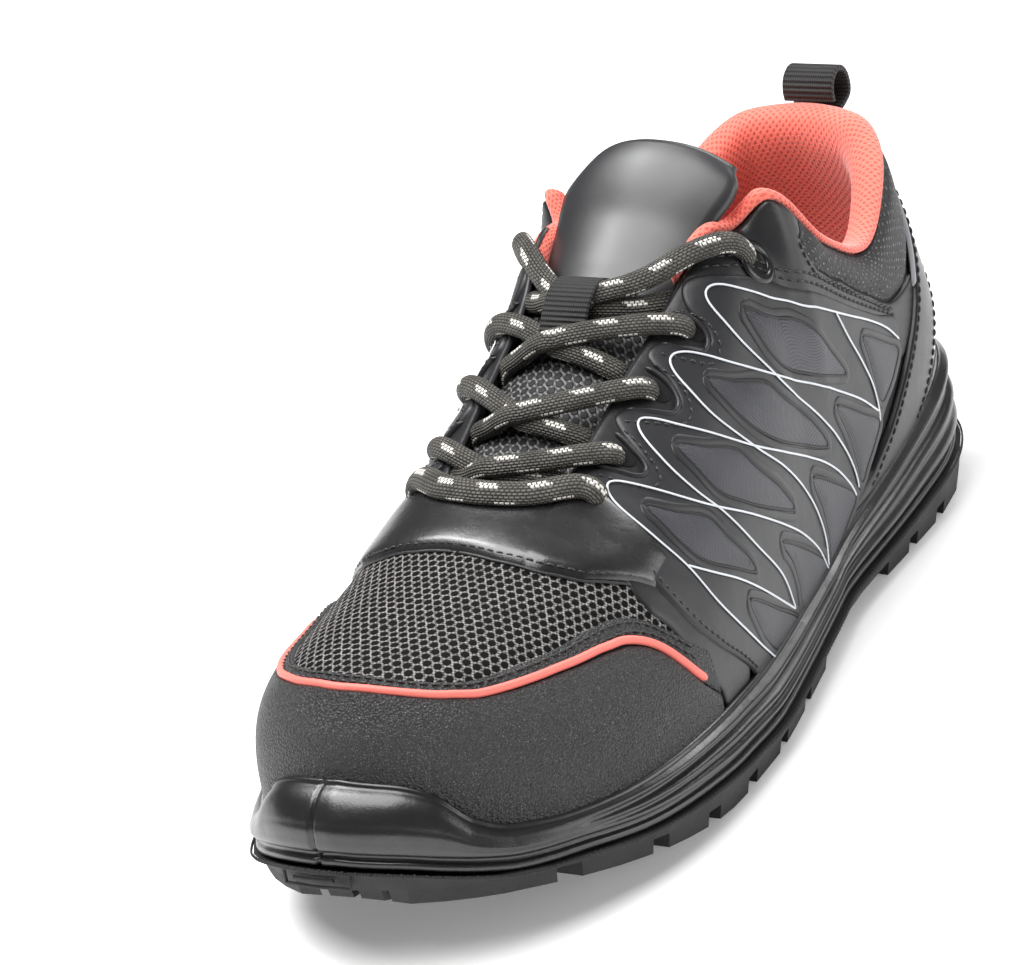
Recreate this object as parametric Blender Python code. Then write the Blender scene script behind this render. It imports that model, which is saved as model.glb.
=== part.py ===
# Low safety sneaker, left shoe, standing empty on its sole.
# Sizes are in millimetres here and turned into metres when a mesh is written.
# Forward (the toe) is -Y, the wearer's left is +X, up is +Z. "s" is the distance
# forward of the back of the heel.

import bpy
import bmesh
import numpy as np

# Driving sizes
MM = 0.001
LENGTH = 305.0
HALF_WIDTH = 54.0
HEEL_TOP = 110.0
HEEL_Y = 0.49532 * LENGTH
MIDDLE_X = 0.0053 * HALF_WIDTH
WALL = 2.4
GAP = 0.3
LIFT = 0.5
FIT = 0.35
PANEL = 1.3
INSOLE = 4.0
LUG = 4.5
LACE_W = 3.2
LACE_H = 2.5
# heights of the lace's middle over the upper's surface: bar, under and upper strand, ends
BAR_LIFT = LIFT + PANEL + LACE_H + 0.5
UNDER_LIFT = LACE_H - 2.8
OVER_LIFT = UNDER_LIFT + 1.2 * LACE_H
HOLE_LIFT = LACE_H + 2.9
RING_LIFT = LACE_H + 3.8
TONGUE_DOWN = WALL + 1.3
TONGUE_THICK = 6.0
LOOP_HIGH = 14.2
LOOP_WIDE = 16.0
WEBBING = 1.6
THROAT_END = 0.665
WRAP_END = 0.455

# The upper from featherline to top line, one row for each section. share is the
# way round from the heel (0) to the toe (1), the same on both sides.
# The other columns are shares too: s of LENGTH, x of HALF_WIDTH, z of HEEL_TOP.
# share, lateral s, x, medial s, x, feather z, top s lateral, medial, top middle x,
# top half width, top z, rise (z), lean (x), crown (x), fall (degrees)
SECTIONS = [
    (0, 0.02, 0, 0.02, 0, 0.327, 0.026, 0.026, 0, 0, 1, 0.236, 0.093, 0.444, 92),
    (0.055, 0.03, 0.37, 0.03, -0.352, 0.327, 0.039, 0.039, 0, 0.333, 0.991, 0.236, 0.093, 0.444, 92),
    (0.125, 0.082, 0.611, 0.085, -0.574, 0.309, 0.085, 0.085, 0, 0.556, 0.918, 0.218, 0.111, 0.407, 88),
    (0.205, 0.164, 0.685, 0.164, -0.648, 0.273, 0.164, 0.164, 0, 0.648, 0.805, 0.182, 0.093, 0.296, 82),
    (0.285, 0.256, 0.704, 0.259, -0.63, 0.236, 0.246, 0.259, 0, 0.667, 0.927, 0.255, 0.093, 0.37, 76),
    (0.355, 0.334, 0.722, 0.338, -0.611, 0.209, 0.308, 0.328, 0, 0.62, 1.127, 0.455, 0.093, 0.444, 72),
    (0.405, 0.393, 0.769, 0.397, -0.62, 0.191, 0.364, 0.364, -0.056, 0, 1.191, 0.709, 0.056, 0.722, 3),
    (0.48, 0.479, 0.852, 0.485, -0.685, 0.191, 0.452, 0.452, -0.074, 0, 1.05, 0.564, 0.056, 0.648, 3),
    (0.56, 0.564, 0.935, 0.574, -0.806, 0.2, 0.534, 0.534, -0.074, 0, 0.945, 0.455, 0.056, 0.593, 2),
    (0.635, 0.643, 0.991, 0.659, -0.907, 0.218, 0.616, 0.616, -0.056, 0, 0.85, 0.345, 0.056, 0.556, 0),
    (0.71, 0.721, 1, 0.741, -0.963, 0.236, 0.695, 0.695, -0.037, 0, 0.773, 0.309, 0.037, 0.556, 0),
    (0.78, 0.793, 0.926, 0.81, -0.954, 0.245, 0.761, 0.761, -0.037, 0, 0.727, 0.3, 0.037, 0.556, 0),
    (0.84, 0.846, 0.796, 0.862, -0.88, 0.255, 0.807, 0.807, -0.056, 0, 0.705, 0.318, 0.037, 0.556, 0),
    (0.91, 0.902, 0.574, 0.911, -0.713, 0.282, 0.833, 0.833, -0.074, 0, 0.691, 0.327, 0.037, 0.556, 0),
    (0.96, 0.938, 0.296, 0.941, -0.472, 0.327, 0.839, 0.839, -0.093, 0, 0.687, 0.309, 0.037, 0.556, 0),
    (1, 0.954, -0.093, 0.954, -0.093, 0.364, 0.843, 0.843, -0.093, 0, 0.686, 0.291, 0.037, 0.556, 0),
]

# The sole beyond the featherline, outward as shares of HALF_WIDTH, z of HEEL_TOP
# share, outward lateral, outward medial, rim z, split z (midsole on outsole)
SOLE = [
    (0, 0.093, 0.093, 0.4, 0.2),
    (0.055, 0.093, 0.093, 0.395, 0.155),
    (0.125, 0.093, 0.093, 0.373, 0.127),
    (0.205, 0.074, 0.074, 0.318, 0.105),
    (0.285, 0.056, 0.065, 0.268, 0.086),
    (0.355, 0.056, 0.056, 0.236, 0.082),
    (0.405, 0.074, 0.056, 0.218, 0.082),
    (0.48, 0.093, 0.065, 0.218, 0.082),
    (0.56, 0.102, 0.074, 0.227, 0.082),
    (0.635, 0.074, 0.093, 0.245, 0.091),
    (0.71, 0.065, 0.093, 0.259, 0.114),
    (0.78, 0.065, 0.093, 0.264, 0.136),
    (0.84, 0.074, 0.093, 0.273, 0.164),
    (0.91, 0.111, 0.13, 0.305, 0.195),
    (0.935, 0.13, 0.148, 0.345, 0.218),
    (0.957, 0.157, 0.176, 0.427, 0.245),
    (0.975, 0.185, 0.204, 0.459, 0.268),
    (1, 0.222, 0.222, 0.473, 0.286),
]

# Underside of the lugs along the shoe: s of LENGTH, z of HEEL_TOP
FLOOR = [
    (0, 0.015), (0.03, 0), (0.656, 0), (0.689, 0.007), (0.721, 0.021), (0.754, 0.038),
    (0.787, 0.056), (0.82, 0.075), (0.852, 0.095), (0.885, 0.118), (0.918, 0.139),
    (0.951, 0.159), (0.997, 0.186),
]

# Rows of lugs: first s, last s, of LENGTH (the arch between them has none)
LUG_ROWS = [
    (0.03, 0.069), (0.085, 0.131), (0.148, 0.19), (0.207, 0.252), (0.43, 0.485), (0.505, 0.561),
    (0.58, 0.63), (0.649, 0.702), (0.721, 0.774), (0.793, 0.859), (0.879, 0.944),
]
# Lug columns across, from the lateral edge (0) to the medial edge (1)
LUG_COLUMNS = [(0.0, 0.2), (0.27, 0.47), (0.53, 0.73), (0.8, 1.0)]
LUG_SWEEP = 0.011

# Half width of the throat: share, part of HALF_WIDTH from the middle of the top line
THROAT = [
    (0.355, 0.62), (0.367, 0.565), (0.372, 0.533), (0.38, 0.507), (0.388, 0.5), (0.405, 0.5),
    (0.43, 0.472), (0.46, 0.426), (0.48, 0.407), (0.56, 0.37), (0.635, 0.343), (0.665, 0.333),
]

# Top line of the toe cap: way round (1 is the tip, over 1 is medial), height share
CAP_TOP = [(0.65, 0.06), (0.674, 0.13), (0.691, 0.21), (0.706, 0.285), (0.72, 0.335),
           (0.735, 0.37), (0.76, 0.4), (0.80, 0.43), (0.846, 0.45), (0.89, 0.47),
           (0.927, 0.51), (0.954, 0.55), (0.988, 0.585), (1.022, 0.585), (1.06, 0.555),
           (1.10, 0.51), (1.154, 0.465), (1.20, 0.44), (1.24, 0.41), (1.265, 0.37),
           (1.285, 0.31), (1.305, 0.22), (1.325, 0.13), (1.345, 0.06)]

# Quarter panel, share and height share: its top line, its front line
QUARTER_TOP = [(0.165, 0.50), (0.18, 0.52), (0.226, 0.70), (0.285, 0.745), (0.33, 0.67),
               (0.355, 0.58), (0.38, 0.50), (0.405, 0.48), (0.43, 0.46), (0.46, 0.52),
               (0.665, 0.715)]
QUARTER_FRONT = [(0.573, 0.0), (0.60, 0.09), (0.625, 0.165), (0.654, 0.28), (0.664, 0.43),
                 (0.668, 0.60)]

# Heel strap, share and height share: front line and rear line
STRAP_FRONT = [(0.0, 0.93), (0.04, 0.90), (0.08, 0.78), (0.12, 0.64), (0.155, 0.51),
               (0.19, 0.41), (0.22, 0.31), (0.25, 0.19), (0.285, 0.10), (0.33, 0.055)]
STRAP_REAR = [(0.0, 0.58), (0.05, 0.50), (0.10, 0.34), (0.14, 0.22), (0.18, 0.10),
              (0.215, 0.03)]

# Vamp band behind the mesh: across, of HALF_WIDTH, and the share of its front edge
VAMP_FRONT = [
    (0, 0.752), (0.222, 0.748), (0.444, 0.738), (0.611, 0.722), (0.722, 0.7), (0.778, 0.688),
]

# Lace holes: share, and across from the middle of the top line, of HALF_WIDTH
HOLES = [
    (0.678, 0.45), (0.607, 0.481), (0.541, 0.5), (0.474, 0.528),
]
RING = (0.392, 0.63)
RING_MEDIAL = (0.394, 0.574)

# Tongue: share along the top line, half width of HALF_WIDTH, thickness of TONGUE_THICK
TONGUE = [
    (0.7, 0.407, 0.333), (0.66, 0.444, 0.367), (0.6, 0.463, 0.433), (0.54, 0.472, 0.567),
    (0.48, 0.478, 0.767), (0.44, 0.463, 0.917), (0.42, 0.454, 1),
]
# and above the top line: forward (LENGTH), up (HEEL_TOP), half width, thickness
TONGUE_TOP = [
    (-0.013, 0.045, 0.446, 0.95), (-0.03, 0.091, 0.459, 0.933),
    (-0.044, 0.123, 0.474, 0.833), (-0.056, 0.136, 0.407, 0.533),
]


# Sections that every wall, panel and rim is built on, so their facets lie parallel
STATIONS = [0, 0.03, 0.06, 0.09, 0.12, 0.15, 0.18, 0.21, 0.24, 0.27, 0.30, 0.325, 0.343, 0.355,
            0.367, 0.38, 0.405, 0.43, 0.46, 0.495, 0.53, 0.565, 0.60, 0.635, 0.665, 0.69,
            0.71, 0.735, 0.76, 0.80, 0.84, 0.875, 0.91, 0.935, 0.96, 1.0]


def steady(xs, ys, at):
    """Curve through the rows that never passes beyond them."""
    at = np.clip(at, xs[0], xs[-1])
    step = np.diff(xs)[:, None]
    rate = np.diff(ys, axis=0) / step
    slope = np.zeros_like(ys)
    rear = 2 * step[1:] + step[:-1]
    fore = step[1:] + 2 * step[:-1]
    same = rate[1:] * rate[:-1] > 0
    a = np.where(same, rate[:-1], 1.0)
    b = np.where(same, rate[1:], 1.0)
    slope[1:-1] = np.where(same, (rear + fore) / (rear / a + fore / b), 0.0)
    slope[0] = rate[0]
    slope[-1] = rate[-1]
    k = np.clip(np.searchsorted(xs, at, side="right") - 1, 0, len(xs) - 2)
    h = step[k]
    f = ((at - xs[k])[:, None]) / h
    low = (1 + 2 * f) * (1 - f) ** 2 * ys[k] + f * (1 - f) ** 2 * h * slope[k]
    high = f * f * (3 - 2 * f) * ys[k + 1] + f * f * (f - 1) * h * slope[k + 1]
    return low + high


def smooth(xs, ys, at):
    """Cubic spline through the rows."""
    n = len(xs)
    h = np.diff(xs)
    left = np.eye(n)
    right = np.zeros_like(ys)
    for i in range(1, n - 1):
        left[i, i - 1:i + 2] = (h[i - 1], 2 * (h[i - 1] + h[i]), h[i])
        right[i] = 6 * ((ys[i + 1] - ys[i]) / h[i] - (ys[i] - ys[i - 1]) / h[i - 1])
    bend = np.linalg.solve(left, right)
    k = np.clip(np.searchsorted(xs, at, side="right") - 1, 0, n - 2)
    a = ((xs[k + 1] - at) / h[k])[:, None]
    c = 1 - a
    sixth = (h[k] ** 2)[:, None] / 6
    curve = ((a ** 3 - a) * bend[k] + (c ** 3 - c) * bend[k + 1]) * sixth
    return a * ys[k] + c * ys[k + 1] + curve


def table(rows, at, column=1):
    """One column of a short table, straight between its rows."""
    data = np.array(rows, float)
    return np.interp(at, data[:, 0], data[:, column])


def curve(rows, at):
    """Every column of a short table, as a steady curve."""
    data = np.array(rows, float)
    return steady(data[:, 0], data[:, 1:], np.atleast_1d(np.asarray(at, float)))


def section_loop():
    """The sections once round the shoe, heel, lateral, toe, medial, three times over."""
    rows = np.array(SECTIONS, float)
    rows[:, [1, 3, 6, 7]] *= LENGTH
    rows[:, [2, 4, 8, 9, 12, 13]] *= HALF_WIDTH
    rows[:, [5, 10, 11]] *= HEEL_TOP
    lateral = rows[:, [0, 1, 2, 5, 6, 8, 10, 11, 12, 13, 14]].copy()
    lateral[:, 5] += rows[:, 9]
    medial = rows[:, [0, 3, 4, 5, 7, 8, 10, 11, 12, 13, 14]].copy()
    medial[:, 0] = 2 - medial[:, 0]
    medial[:, 5] -= rows[:, 9]
    once = np.vstack([lateral, medial[::-1][1:-1]])
    turns = []
    for turn in (-2.0, 0.0, 2.0):
        copy = once.copy()
        copy[:, 0] += turn
        turns.append(copy)
    return np.vstack(turns)


LOOP = section_loop()


def sole_at(share):
    """Outward lateral and medial, rim z and split z of the sole, in mm."""
    return curve(SOLE, share) * np.array([HALF_WIDTH, HALF_WIDTH, HEEL_TOP, HEEL_TOP])


def floor_at(s):
    """Height of the lugs' underside at s."""
    return table(FLOOR, np.asarray(s) / LENGTH) * HEEL_TOP


def share_of(way):
    """Way round the shoe (0 to 2) as the share from the heel, the same on both sides."""
    way = np.mod(way, 2.0)
    return np.where(way > 1, 2 - way, way)


def feather(way):
    """Featherline points (s, x, z) and outward directions (s, x)."""
    way = np.mod(np.atleast_1d(np.asarray(way, float)), 2.0)
    base = smooth(LOOP[:, 0], LOOP[:, 1:4], way)
    step = 0.001
    ahead = smooth(LOOP[:, 0], LOOP[:, 1:3], way + step)
    behind = smooth(LOOP[:, 0], LOOP[:, 1:3], way - step)
    along = ahead - behind
    out = np.stack([-along[:, 1], along[:, 0]], axis=1)
    return base, out / np.linalg.norm(out, axis=1)[:, None]


def skin(way, height):
    """Points on the outside of the upper. height is 0 at the featherline, 1 on top."""
    way, height = np.broadcast_arrays(np.asarray(way, float), np.asarray(height, float))
    shape = way.shape
    base, out = feather(way.ravel())
    top = steady(LOOP[:, 0], LOOP[:, 4:], np.mod(way.ravel(), 2.0))
    h = height.ravel()[:, None]
    rise, lean, crown = top[:, 3], top[:, 4], top[:, 5]
    fall = np.radians(top[:, 6])
    first = base + np.stack([out[:, 0] * lean, out[:, 1] * lean, rise], axis=1)
    last = top[:, :3]
    reach = crown * np.cos(fall)
    third = last + np.stack([out[:, 0] * reach, out[:, 1] * reach,
                             -crown * np.sin(fall)], axis=1)
    point = ((1 - h) ** 3 * base + 3 * (1 - h) ** 2 * h * first
             + 3 * (1 - h) * h * h * third + h ** 3 * last)
    placed = np.stack([point[:, 1], HEEL_Y - point[:, 0], point[:, 2]], axis=1)
    return placed.reshape(shape + (3,))


def outward(way, height):
    """Unit normals of the upper, pointing out."""
    step = 0.002
    low = np.clip(height - step, 0, 1)
    high = np.clip(height + step, 0, 1)
    up = skin(way, high) - skin(way, low)
    along = skin(way + step, height) - skin(way - step, height)
    n = np.cross(up, along)
    n = n / np.maximum(np.linalg.norm(n, axis=-1), 1e-9)[..., None]
    return n


def layer(way, height, lift):
    """Points at a distance above (or below, negative) the outside of the upper."""
    return skin(way, height) + outward(way, height) * np.asarray(lift, float)[..., None]


def height_at_z(way, z):
    """Height share where the upper's outside reaches z, low on the wall."""
    tries = np.linspace(0, 0.6, 61)
    found = []
    for one, level in zip(np.ravel(way), np.ravel(z)):
        found.append(np.interp(level, skin(np.full(61, one), tries)[:, 2], tries))
    return np.array(found)


def height_across(share, side, across):
    """Height share where the section is a given distance across from its middle."""
    tries = np.linspace(0.3, 1.0, 141)
    way = share if side > 0 else 2 - share
    middle = table(SECTIONS, share, 8) * HALF_WIDTH
    x = (skin(np.full(141, way), tries)[:, 0] - middle) * side
    return float(np.interp(-across, -x, tries))


def over(share, across, lift):
    """A point over the top of the shoe: across is positive to the lateral side."""
    side = 1 if across >= 0 else -1
    height = height_across(share, side, abs(across))
    way = share if side > 0 else 2 - share
    return layer(np.array([way]), np.array([height]), np.array([float(lift)]))[0]


def edge_height(way):
    """Height share of the collar and throat edge at each way round."""
    result = []
    for one in np.ravel(way):
        share = float(share_of(one))
        if share <= THROAT[0][0]:
            result.append(1.0)
        else:
            side = 1 if np.mod(one, 2.0) <= 1 else -1
            half = float(table(THROAT, share)) * HALF_WIDTH
            result.append(height_across(share, side, half))
    return np.array(result)


def write(name, verts, faces, colour, metallic=0.0, roughness=0.6):
    """One closed solid as its own object with its own material."""
    data = bpy.data.meshes.new(name)
    placed = [((v[0] - MIDDLE_X) * MM, v[1] * MM, v[2] * MM) for v in verts]
    data.from_pydata(placed, [], faces)
    work = bmesh.new()
    work.from_mesh(data)
    bmesh.ops.remove_doubles(work, verts=work.verts, dist=0.00002)
    bmesh.ops.dissolve_degenerate(work, edges=work.edges, dist=0.00002)
    bmesh.ops.triangulate(work, faces=work.faces)
    bmesh.ops.recalc_face_normals(work, faces=work.faces)
    work.to_mesh(data)
    work.free()
    made = bpy.data.objects.new(name, data)
    bpy.context.scene.collection.objects.link(made)
    paint = bpy.data.materials.new(name)
    paint.use_nodes = True
    shader = paint.node_tree.nodes["Principled BSDF"]
    shader.inputs["Base Color"].default_value = (*colour, 1.0)
    shader.inputs["Metallic"].default_value = metallic
    shader.inputs["Roughness"].default_value = roughness
    data.materials.append(paint)
    return made


def plate(name, front, back, colour, used=None, wrap=False, roughness=0.6, meets=False):
    """A solid between two grids of points; used says which cells are there, and meets
    that the last column is a seam where the two sides of the grid weld together."""
    rows, columns = front.shape[:2]
    turns = rows if wrap else rows - 1
    if used is None:
        used = np.ones((turns, columns - 1), bool)
    verts = np.vstack([front.reshape(-1, 3), back.reshape(-1, 3)])
    half = rows * columns

    def at(i, j, under):
        return (i % rows) * columns + j + (half if under else 0)

    faces = []
    for i in range(turns):
        for j in range(columns - 1):
            if not used[i, j]:
                continue
            faces.append((at(i, j, 0), at(i + 1, j, 0), at(i + 1, j + 1, 0), at(i, j + 1, 0)))
            faces.append((at(i, j + 1, 1), at(i + 1, j + 1, 1), at(i + 1, j, 1), at(i, j, 1)))
            before = used[i - 1, j] if (i > 0 or wrap) else False
            after = used[(i + 1) % turns, j] if (i < turns - 1 or wrap) else False
            if not before:
                faces.append((at(i, j, 1), at(i, j, 0), at(i, j + 1, 0), at(i, j + 1, 1)))
            if not after:
                faces.append((at(i + 1, j + 1, 1), at(i + 1, j + 1, 0),
                              at(i + 1, j, 0), at(i + 1, j, 1)))
            if j == 0 or not used[i, j - 1]:
                faces.append((at(i + 1, j, 1), at(i + 1, j, 0), at(i, j, 0), at(i, j, 1)))
            last = j == columns - 2
            if (last and not meets) or (not last and not used[i, j + 1]):
                faces.append((at(i, j + 1, 1), at(i, j + 1, 0),
                              at(i + 1, j + 1, 0), at(i + 1, j + 1, 1)))
    return write(name, verts, faces, colour, roughness=roughness)


def tube(rings, closed=False):
    """Verts and faces of a bar through a list of rings of points."""
    count = len(rings)
    size = len(rings[0])
    verts = [p for ring in rings for p in ring]
    faces = []
    for i in range(count if closed else count - 1):
        for j in range(size):
            a = i * size + j
            b = i * size + (j + 1) % size
            c = ((i + 1) % count) * size + (j + 1) % size
            d = ((i + 1) % count) * size + j
            faces.append((a, b, c, d))
    if not closed:
        faces.append(tuple(reversed(range(size))))
        faces.append(tuple(range((count - 1) * size, count * size)))
    return verts, faces


def rings_along(path, wide, high, up, sides=7):
    """Oval rings square to a path, wide across and high along the up directions."""
    path = np.asarray(path, float)
    rings = []
    for k, centre in enumerate(path):
        ahead = path[min(k + 1, len(path) - 1)] - path[max(k - 1, 0)]
        ahead = ahead / np.linalg.norm(ahead)
        lift = np.asarray(up[k], float)
        lift = lift - ahead * np.dot(lift, ahead)
        lift = lift / np.linalg.norm(lift)
        side = np.cross(ahead, lift)
        ring = []
        for turn in np.linspace(0, 2 * np.pi, sides, endpoint=False):
            ring.append(centre + side * wide * np.cos(turn) + lift * high * np.sin(turn))
        rings.append(ring)
    return rings


def cut(body, tool, how):
    """Join two objects into the first with an exact boolean."""
    change = body.modifiers.new("join", "BOOLEAN")
    change.operation = how
    change.solver = "EXACT"
    change.object = tool
    bpy.context.view_layer.update()
    graph = bpy.context.evaluated_depsgraph_get()
    result = bpy.data.meshes.new_from_object(body.evaluated_get(graph))
    body.modifiers.clear()
    result.name = body.name
    body.data = result
    bpy.data.objects.remove(tool, do_unlink=True)


def outline(way, extra):
    """Plan points (x, y) round the sole, extra mm beyond the midsole's side."""
    base, out = feather(way)
    sides = sole_at(share_of(np.atleast_1d(way)))
    reach = np.where(np.mod(way, 2.0) <= 1, sides[:, 0], sides[:, 1])
    reach = reach + extra
    s = base[:, 0] + out[:, 0] * reach
    x = base[:, 1] + out[:, 1] * reach
    return np.stack([x, HEEL_Y - s], axis=1)


def across_grid(shares, parts, lateral, medial):
    """Points between two outlines, one row for each share, one column for each part."""
    parts = np.asarray(parts, float)[None, :, None]
    return lateral[:, None, :] * (1 - parts) + medial[:, None, :] * parts


def clean_scene():
    for item in list(bpy.data.objects):
        bpy.data.objects.remove(item, do_unlink=True)


def build_upper():
    """The hollow upper: one wall, open at the collar, the throat and underneath."""
    shares = np.array(STATIONS)
    ways = np.concatenate([shares, 2 - shares[::-1][1:-1]])
    side_cells = 7
    vamp_cells = 3
    edge = edge_height(ways)
    half = float(table(THROAT, THROAT_END)) * HALF_WIDTH
    end = [height_across(THROAT_END, side, half) for side in (1, -1)]
    fore = share_of(ways) > THROAT_END
    edge = np.where(fore, np.where(ways <= 1, end[0], end[1]), edge)
    heights = np.zeros((len(ways), side_cells + vamp_cells + 1))
    for j in range(side_cells + 1):
        heights[:, j] = edge * (j / side_cells) ** 0.9
    for j in range(1, vamp_cells + 1):
        heights[:, side_cells + j] = edge + (1 - edge) * j / vamp_cells
    grid = np.repeat(ways[:, None], heights.shape[1], axis=1)
    outer = layer(grid, heights, np.zeros(grid.shape))
    inner = layer(grid, heights, np.full(grid.shape, -WALL))
    inner[:, 0, 2] = outer[:, 0, 2]
    other_side = -np.arange(len(ways)) % len(ways)
    for grid_points in (outer, inner):
        seam = 0.5 * (grid_points[:, -1] + grid_points[other_side, -1])
        grid_points[:, -1] = seam
    used = np.ones((len(ways), side_cells + vamp_cells), bool)
    for i in range(len(ways)):
        middle = 0.5 * (ways[i] + (ways[i + 1] if i + 1 < len(ways) else 2.0))
        if share_of(middle) < THROAT_END:
            used[i, side_cells:] = False
    plate("upper", outer, inner, (0.03, 0.03, 0.032), used, wrap=True, roughness=0.7,
          meets=True)


def bed_grid(shares, parts, inset, drop):
    """The level the foot lies on: the featherline's height, inset, drop mm lower."""
    lateral_base, lateral_out = feather(shares)
    medial_base, medial_out = feather(2 - shares)
    sides = []
    for base, out in ((lateral_base, lateral_out), (medial_base, medial_out)):
        s = base[:, 0] + out[:, 0] * inset
        x = base[:, 1] + out[:, 1] * inset
        sides.append(np.stack([x, HEEL_Y - s, base[:, 2] - drop], axis=1))
    return across_grid(shares, parts, sides[0], sides[1])


def build_insole():
    shares = np.array([0, 0.03, 0.06, 0.12, 0.18, 0.24, 0.30, 0.355, 0.43, 0.53, 0.60, 0.665,
                       0.735, 0.80, 0.84, 0.875, 0.91, 0.935, 0.96, 1.0])
    parts = [0, 0.2, 0.5, 0.8, 1]
    inset = -(WALL + FIT + 0.8)
    bottom = bed_grid(shares, parts, inset, 0.0)
    top = bottom.copy()
    dish = np.array([0.6, -0.3, -0.8, -0.3, 0.6])
    fade = np.clip(np.minimum(shares, 1 - shares) / 0.1, 0, 1)
    top[:, :, 2] += INSOLE + fade[:, None] * dish[None, :]
    plate("insole", top, bottom, (0.06, 0.06, 0.065), roughness=0.85)


def sole_side(ways):
    """Levels of the midsole's side at each way round, top to bottom: lists of points."""
    share = share_of(ways)
    sides = sole_at(share)
    rim = sides[:, 2]
    split = sides[:, 3]
    base, out = feather(ways)
    reach = np.where(ways <= 1, sides[:, 0], sides[:, 1])
    flat_out = np.stack([out[:, 1], -out[:, 0]], axis=1)
    zero = np.zeros(len(ways))
    foot = layer(ways, zero, np.full(len(ways), FIT))
    foot[:, 2] = base[:, 2] - GAP
    at_rim = layer(ways, height_at_z(ways, rim - 0.6), np.full(len(ways), FIT))
    start = (at_rim[:, :2] - np.stack([base[:, 1], HEEL_Y - base[:, 0]], axis=1))
    start = np.sum(start * flat_out, axis=1)

    def ring(distance, z):
        xy = np.stack([base[:, 1], HEEL_Y - base[:, 0]], axis=1) + flat_out * distance[:, None]
        return np.column_stack([xy, z])

    low = split + 4.6
    top = rim - 1.2
    levels = [foot, at_rim]
    levels.append(ring(start + 1.3, rim))
    levels.append(ring(start + 2.7, top))
    # share of the drop, share of the way out, mm in
    for drop, way_out, inward in ((0.22, 0.55, 0.0), (0.42, 0.85, 0.9), (0.55, 0.95, 0.7),
                                  (0.64, 1.0, -0.2), (0.86, 1.0, 0.0), (1.0, 1.0, 0.3)):
        distance = (start + 2.7) * (1 - way_out) + np.maximum(reach, start + 2.9) * way_out
        levels.append(ring(distance - inward, top * (1 - drop) + low * drop))
    levels.append(ring(reach - 1.7, split + 3.6))
    levels.append(ring(reach - 1.7, split + 2.6))
    levels.append(ring(reach - 0.5, split + 1.8))
    levels.append(ring(reach - 0.5, split + LIFT / 2))
    return levels


def build_midsole():
    """Midsole with the toe bumper: top bed, rim, stepped side and flat underside."""
    shares = np.array(STATIONS)
    ways = np.concatenate([shares, 2 - shares[::-1][1:-1]])
    levels = sole_side(ways)
    count = len(ways)
    verts = [p for level in levels for p in level]
    faces = []
    for k in range(len(levels) - 1):
        for i in range(count):
            a = k * count + i
            b = k * count + (i + 1) % count
            faces.append((a, b, b + count, a + count))
    last = len(levels) - 1
    parts = [0.33, 0.67]

    def floor_between(level):
        """Close one level across the shoe."""
        n = len(shares)
        ring = levels[level]
        start = len(verts)
        inside = {}
        for i in range(1, n - 1):
            a = np.asarray(ring[i])
            b = np.asarray(ring[count - i])
            for j, part in enumerate(parts):
                inside[i, j] = len(verts)
                verts.append(a * (1 - part) + b * part)

        def at(i, j):
            if i == 0:
                return level * count
            if i == n - 1:
                return level * count + n - 1
            if j == 0:
                return level * count + i
            if j == len(parts) + 1:
                return level * count + count - i
            return inside[i, j - 1]

        for i in range(n - 1):
            for j in range(len(parts) + 1):
                loop = []
                for p in (at(i, j), at(i + 1, j), at(i + 1, j + 1), at(i, j + 1)):
                    if p not in loop:
                        loop.append(p)
                if len(loop) > 2:
                    faces.append(tuple(loop))
        return start

    floor_between(0)
    floor_between(last)
    write("midsole", verts, faces, (0.02, 0.02, 0.022), roughness=0.35)


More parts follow.
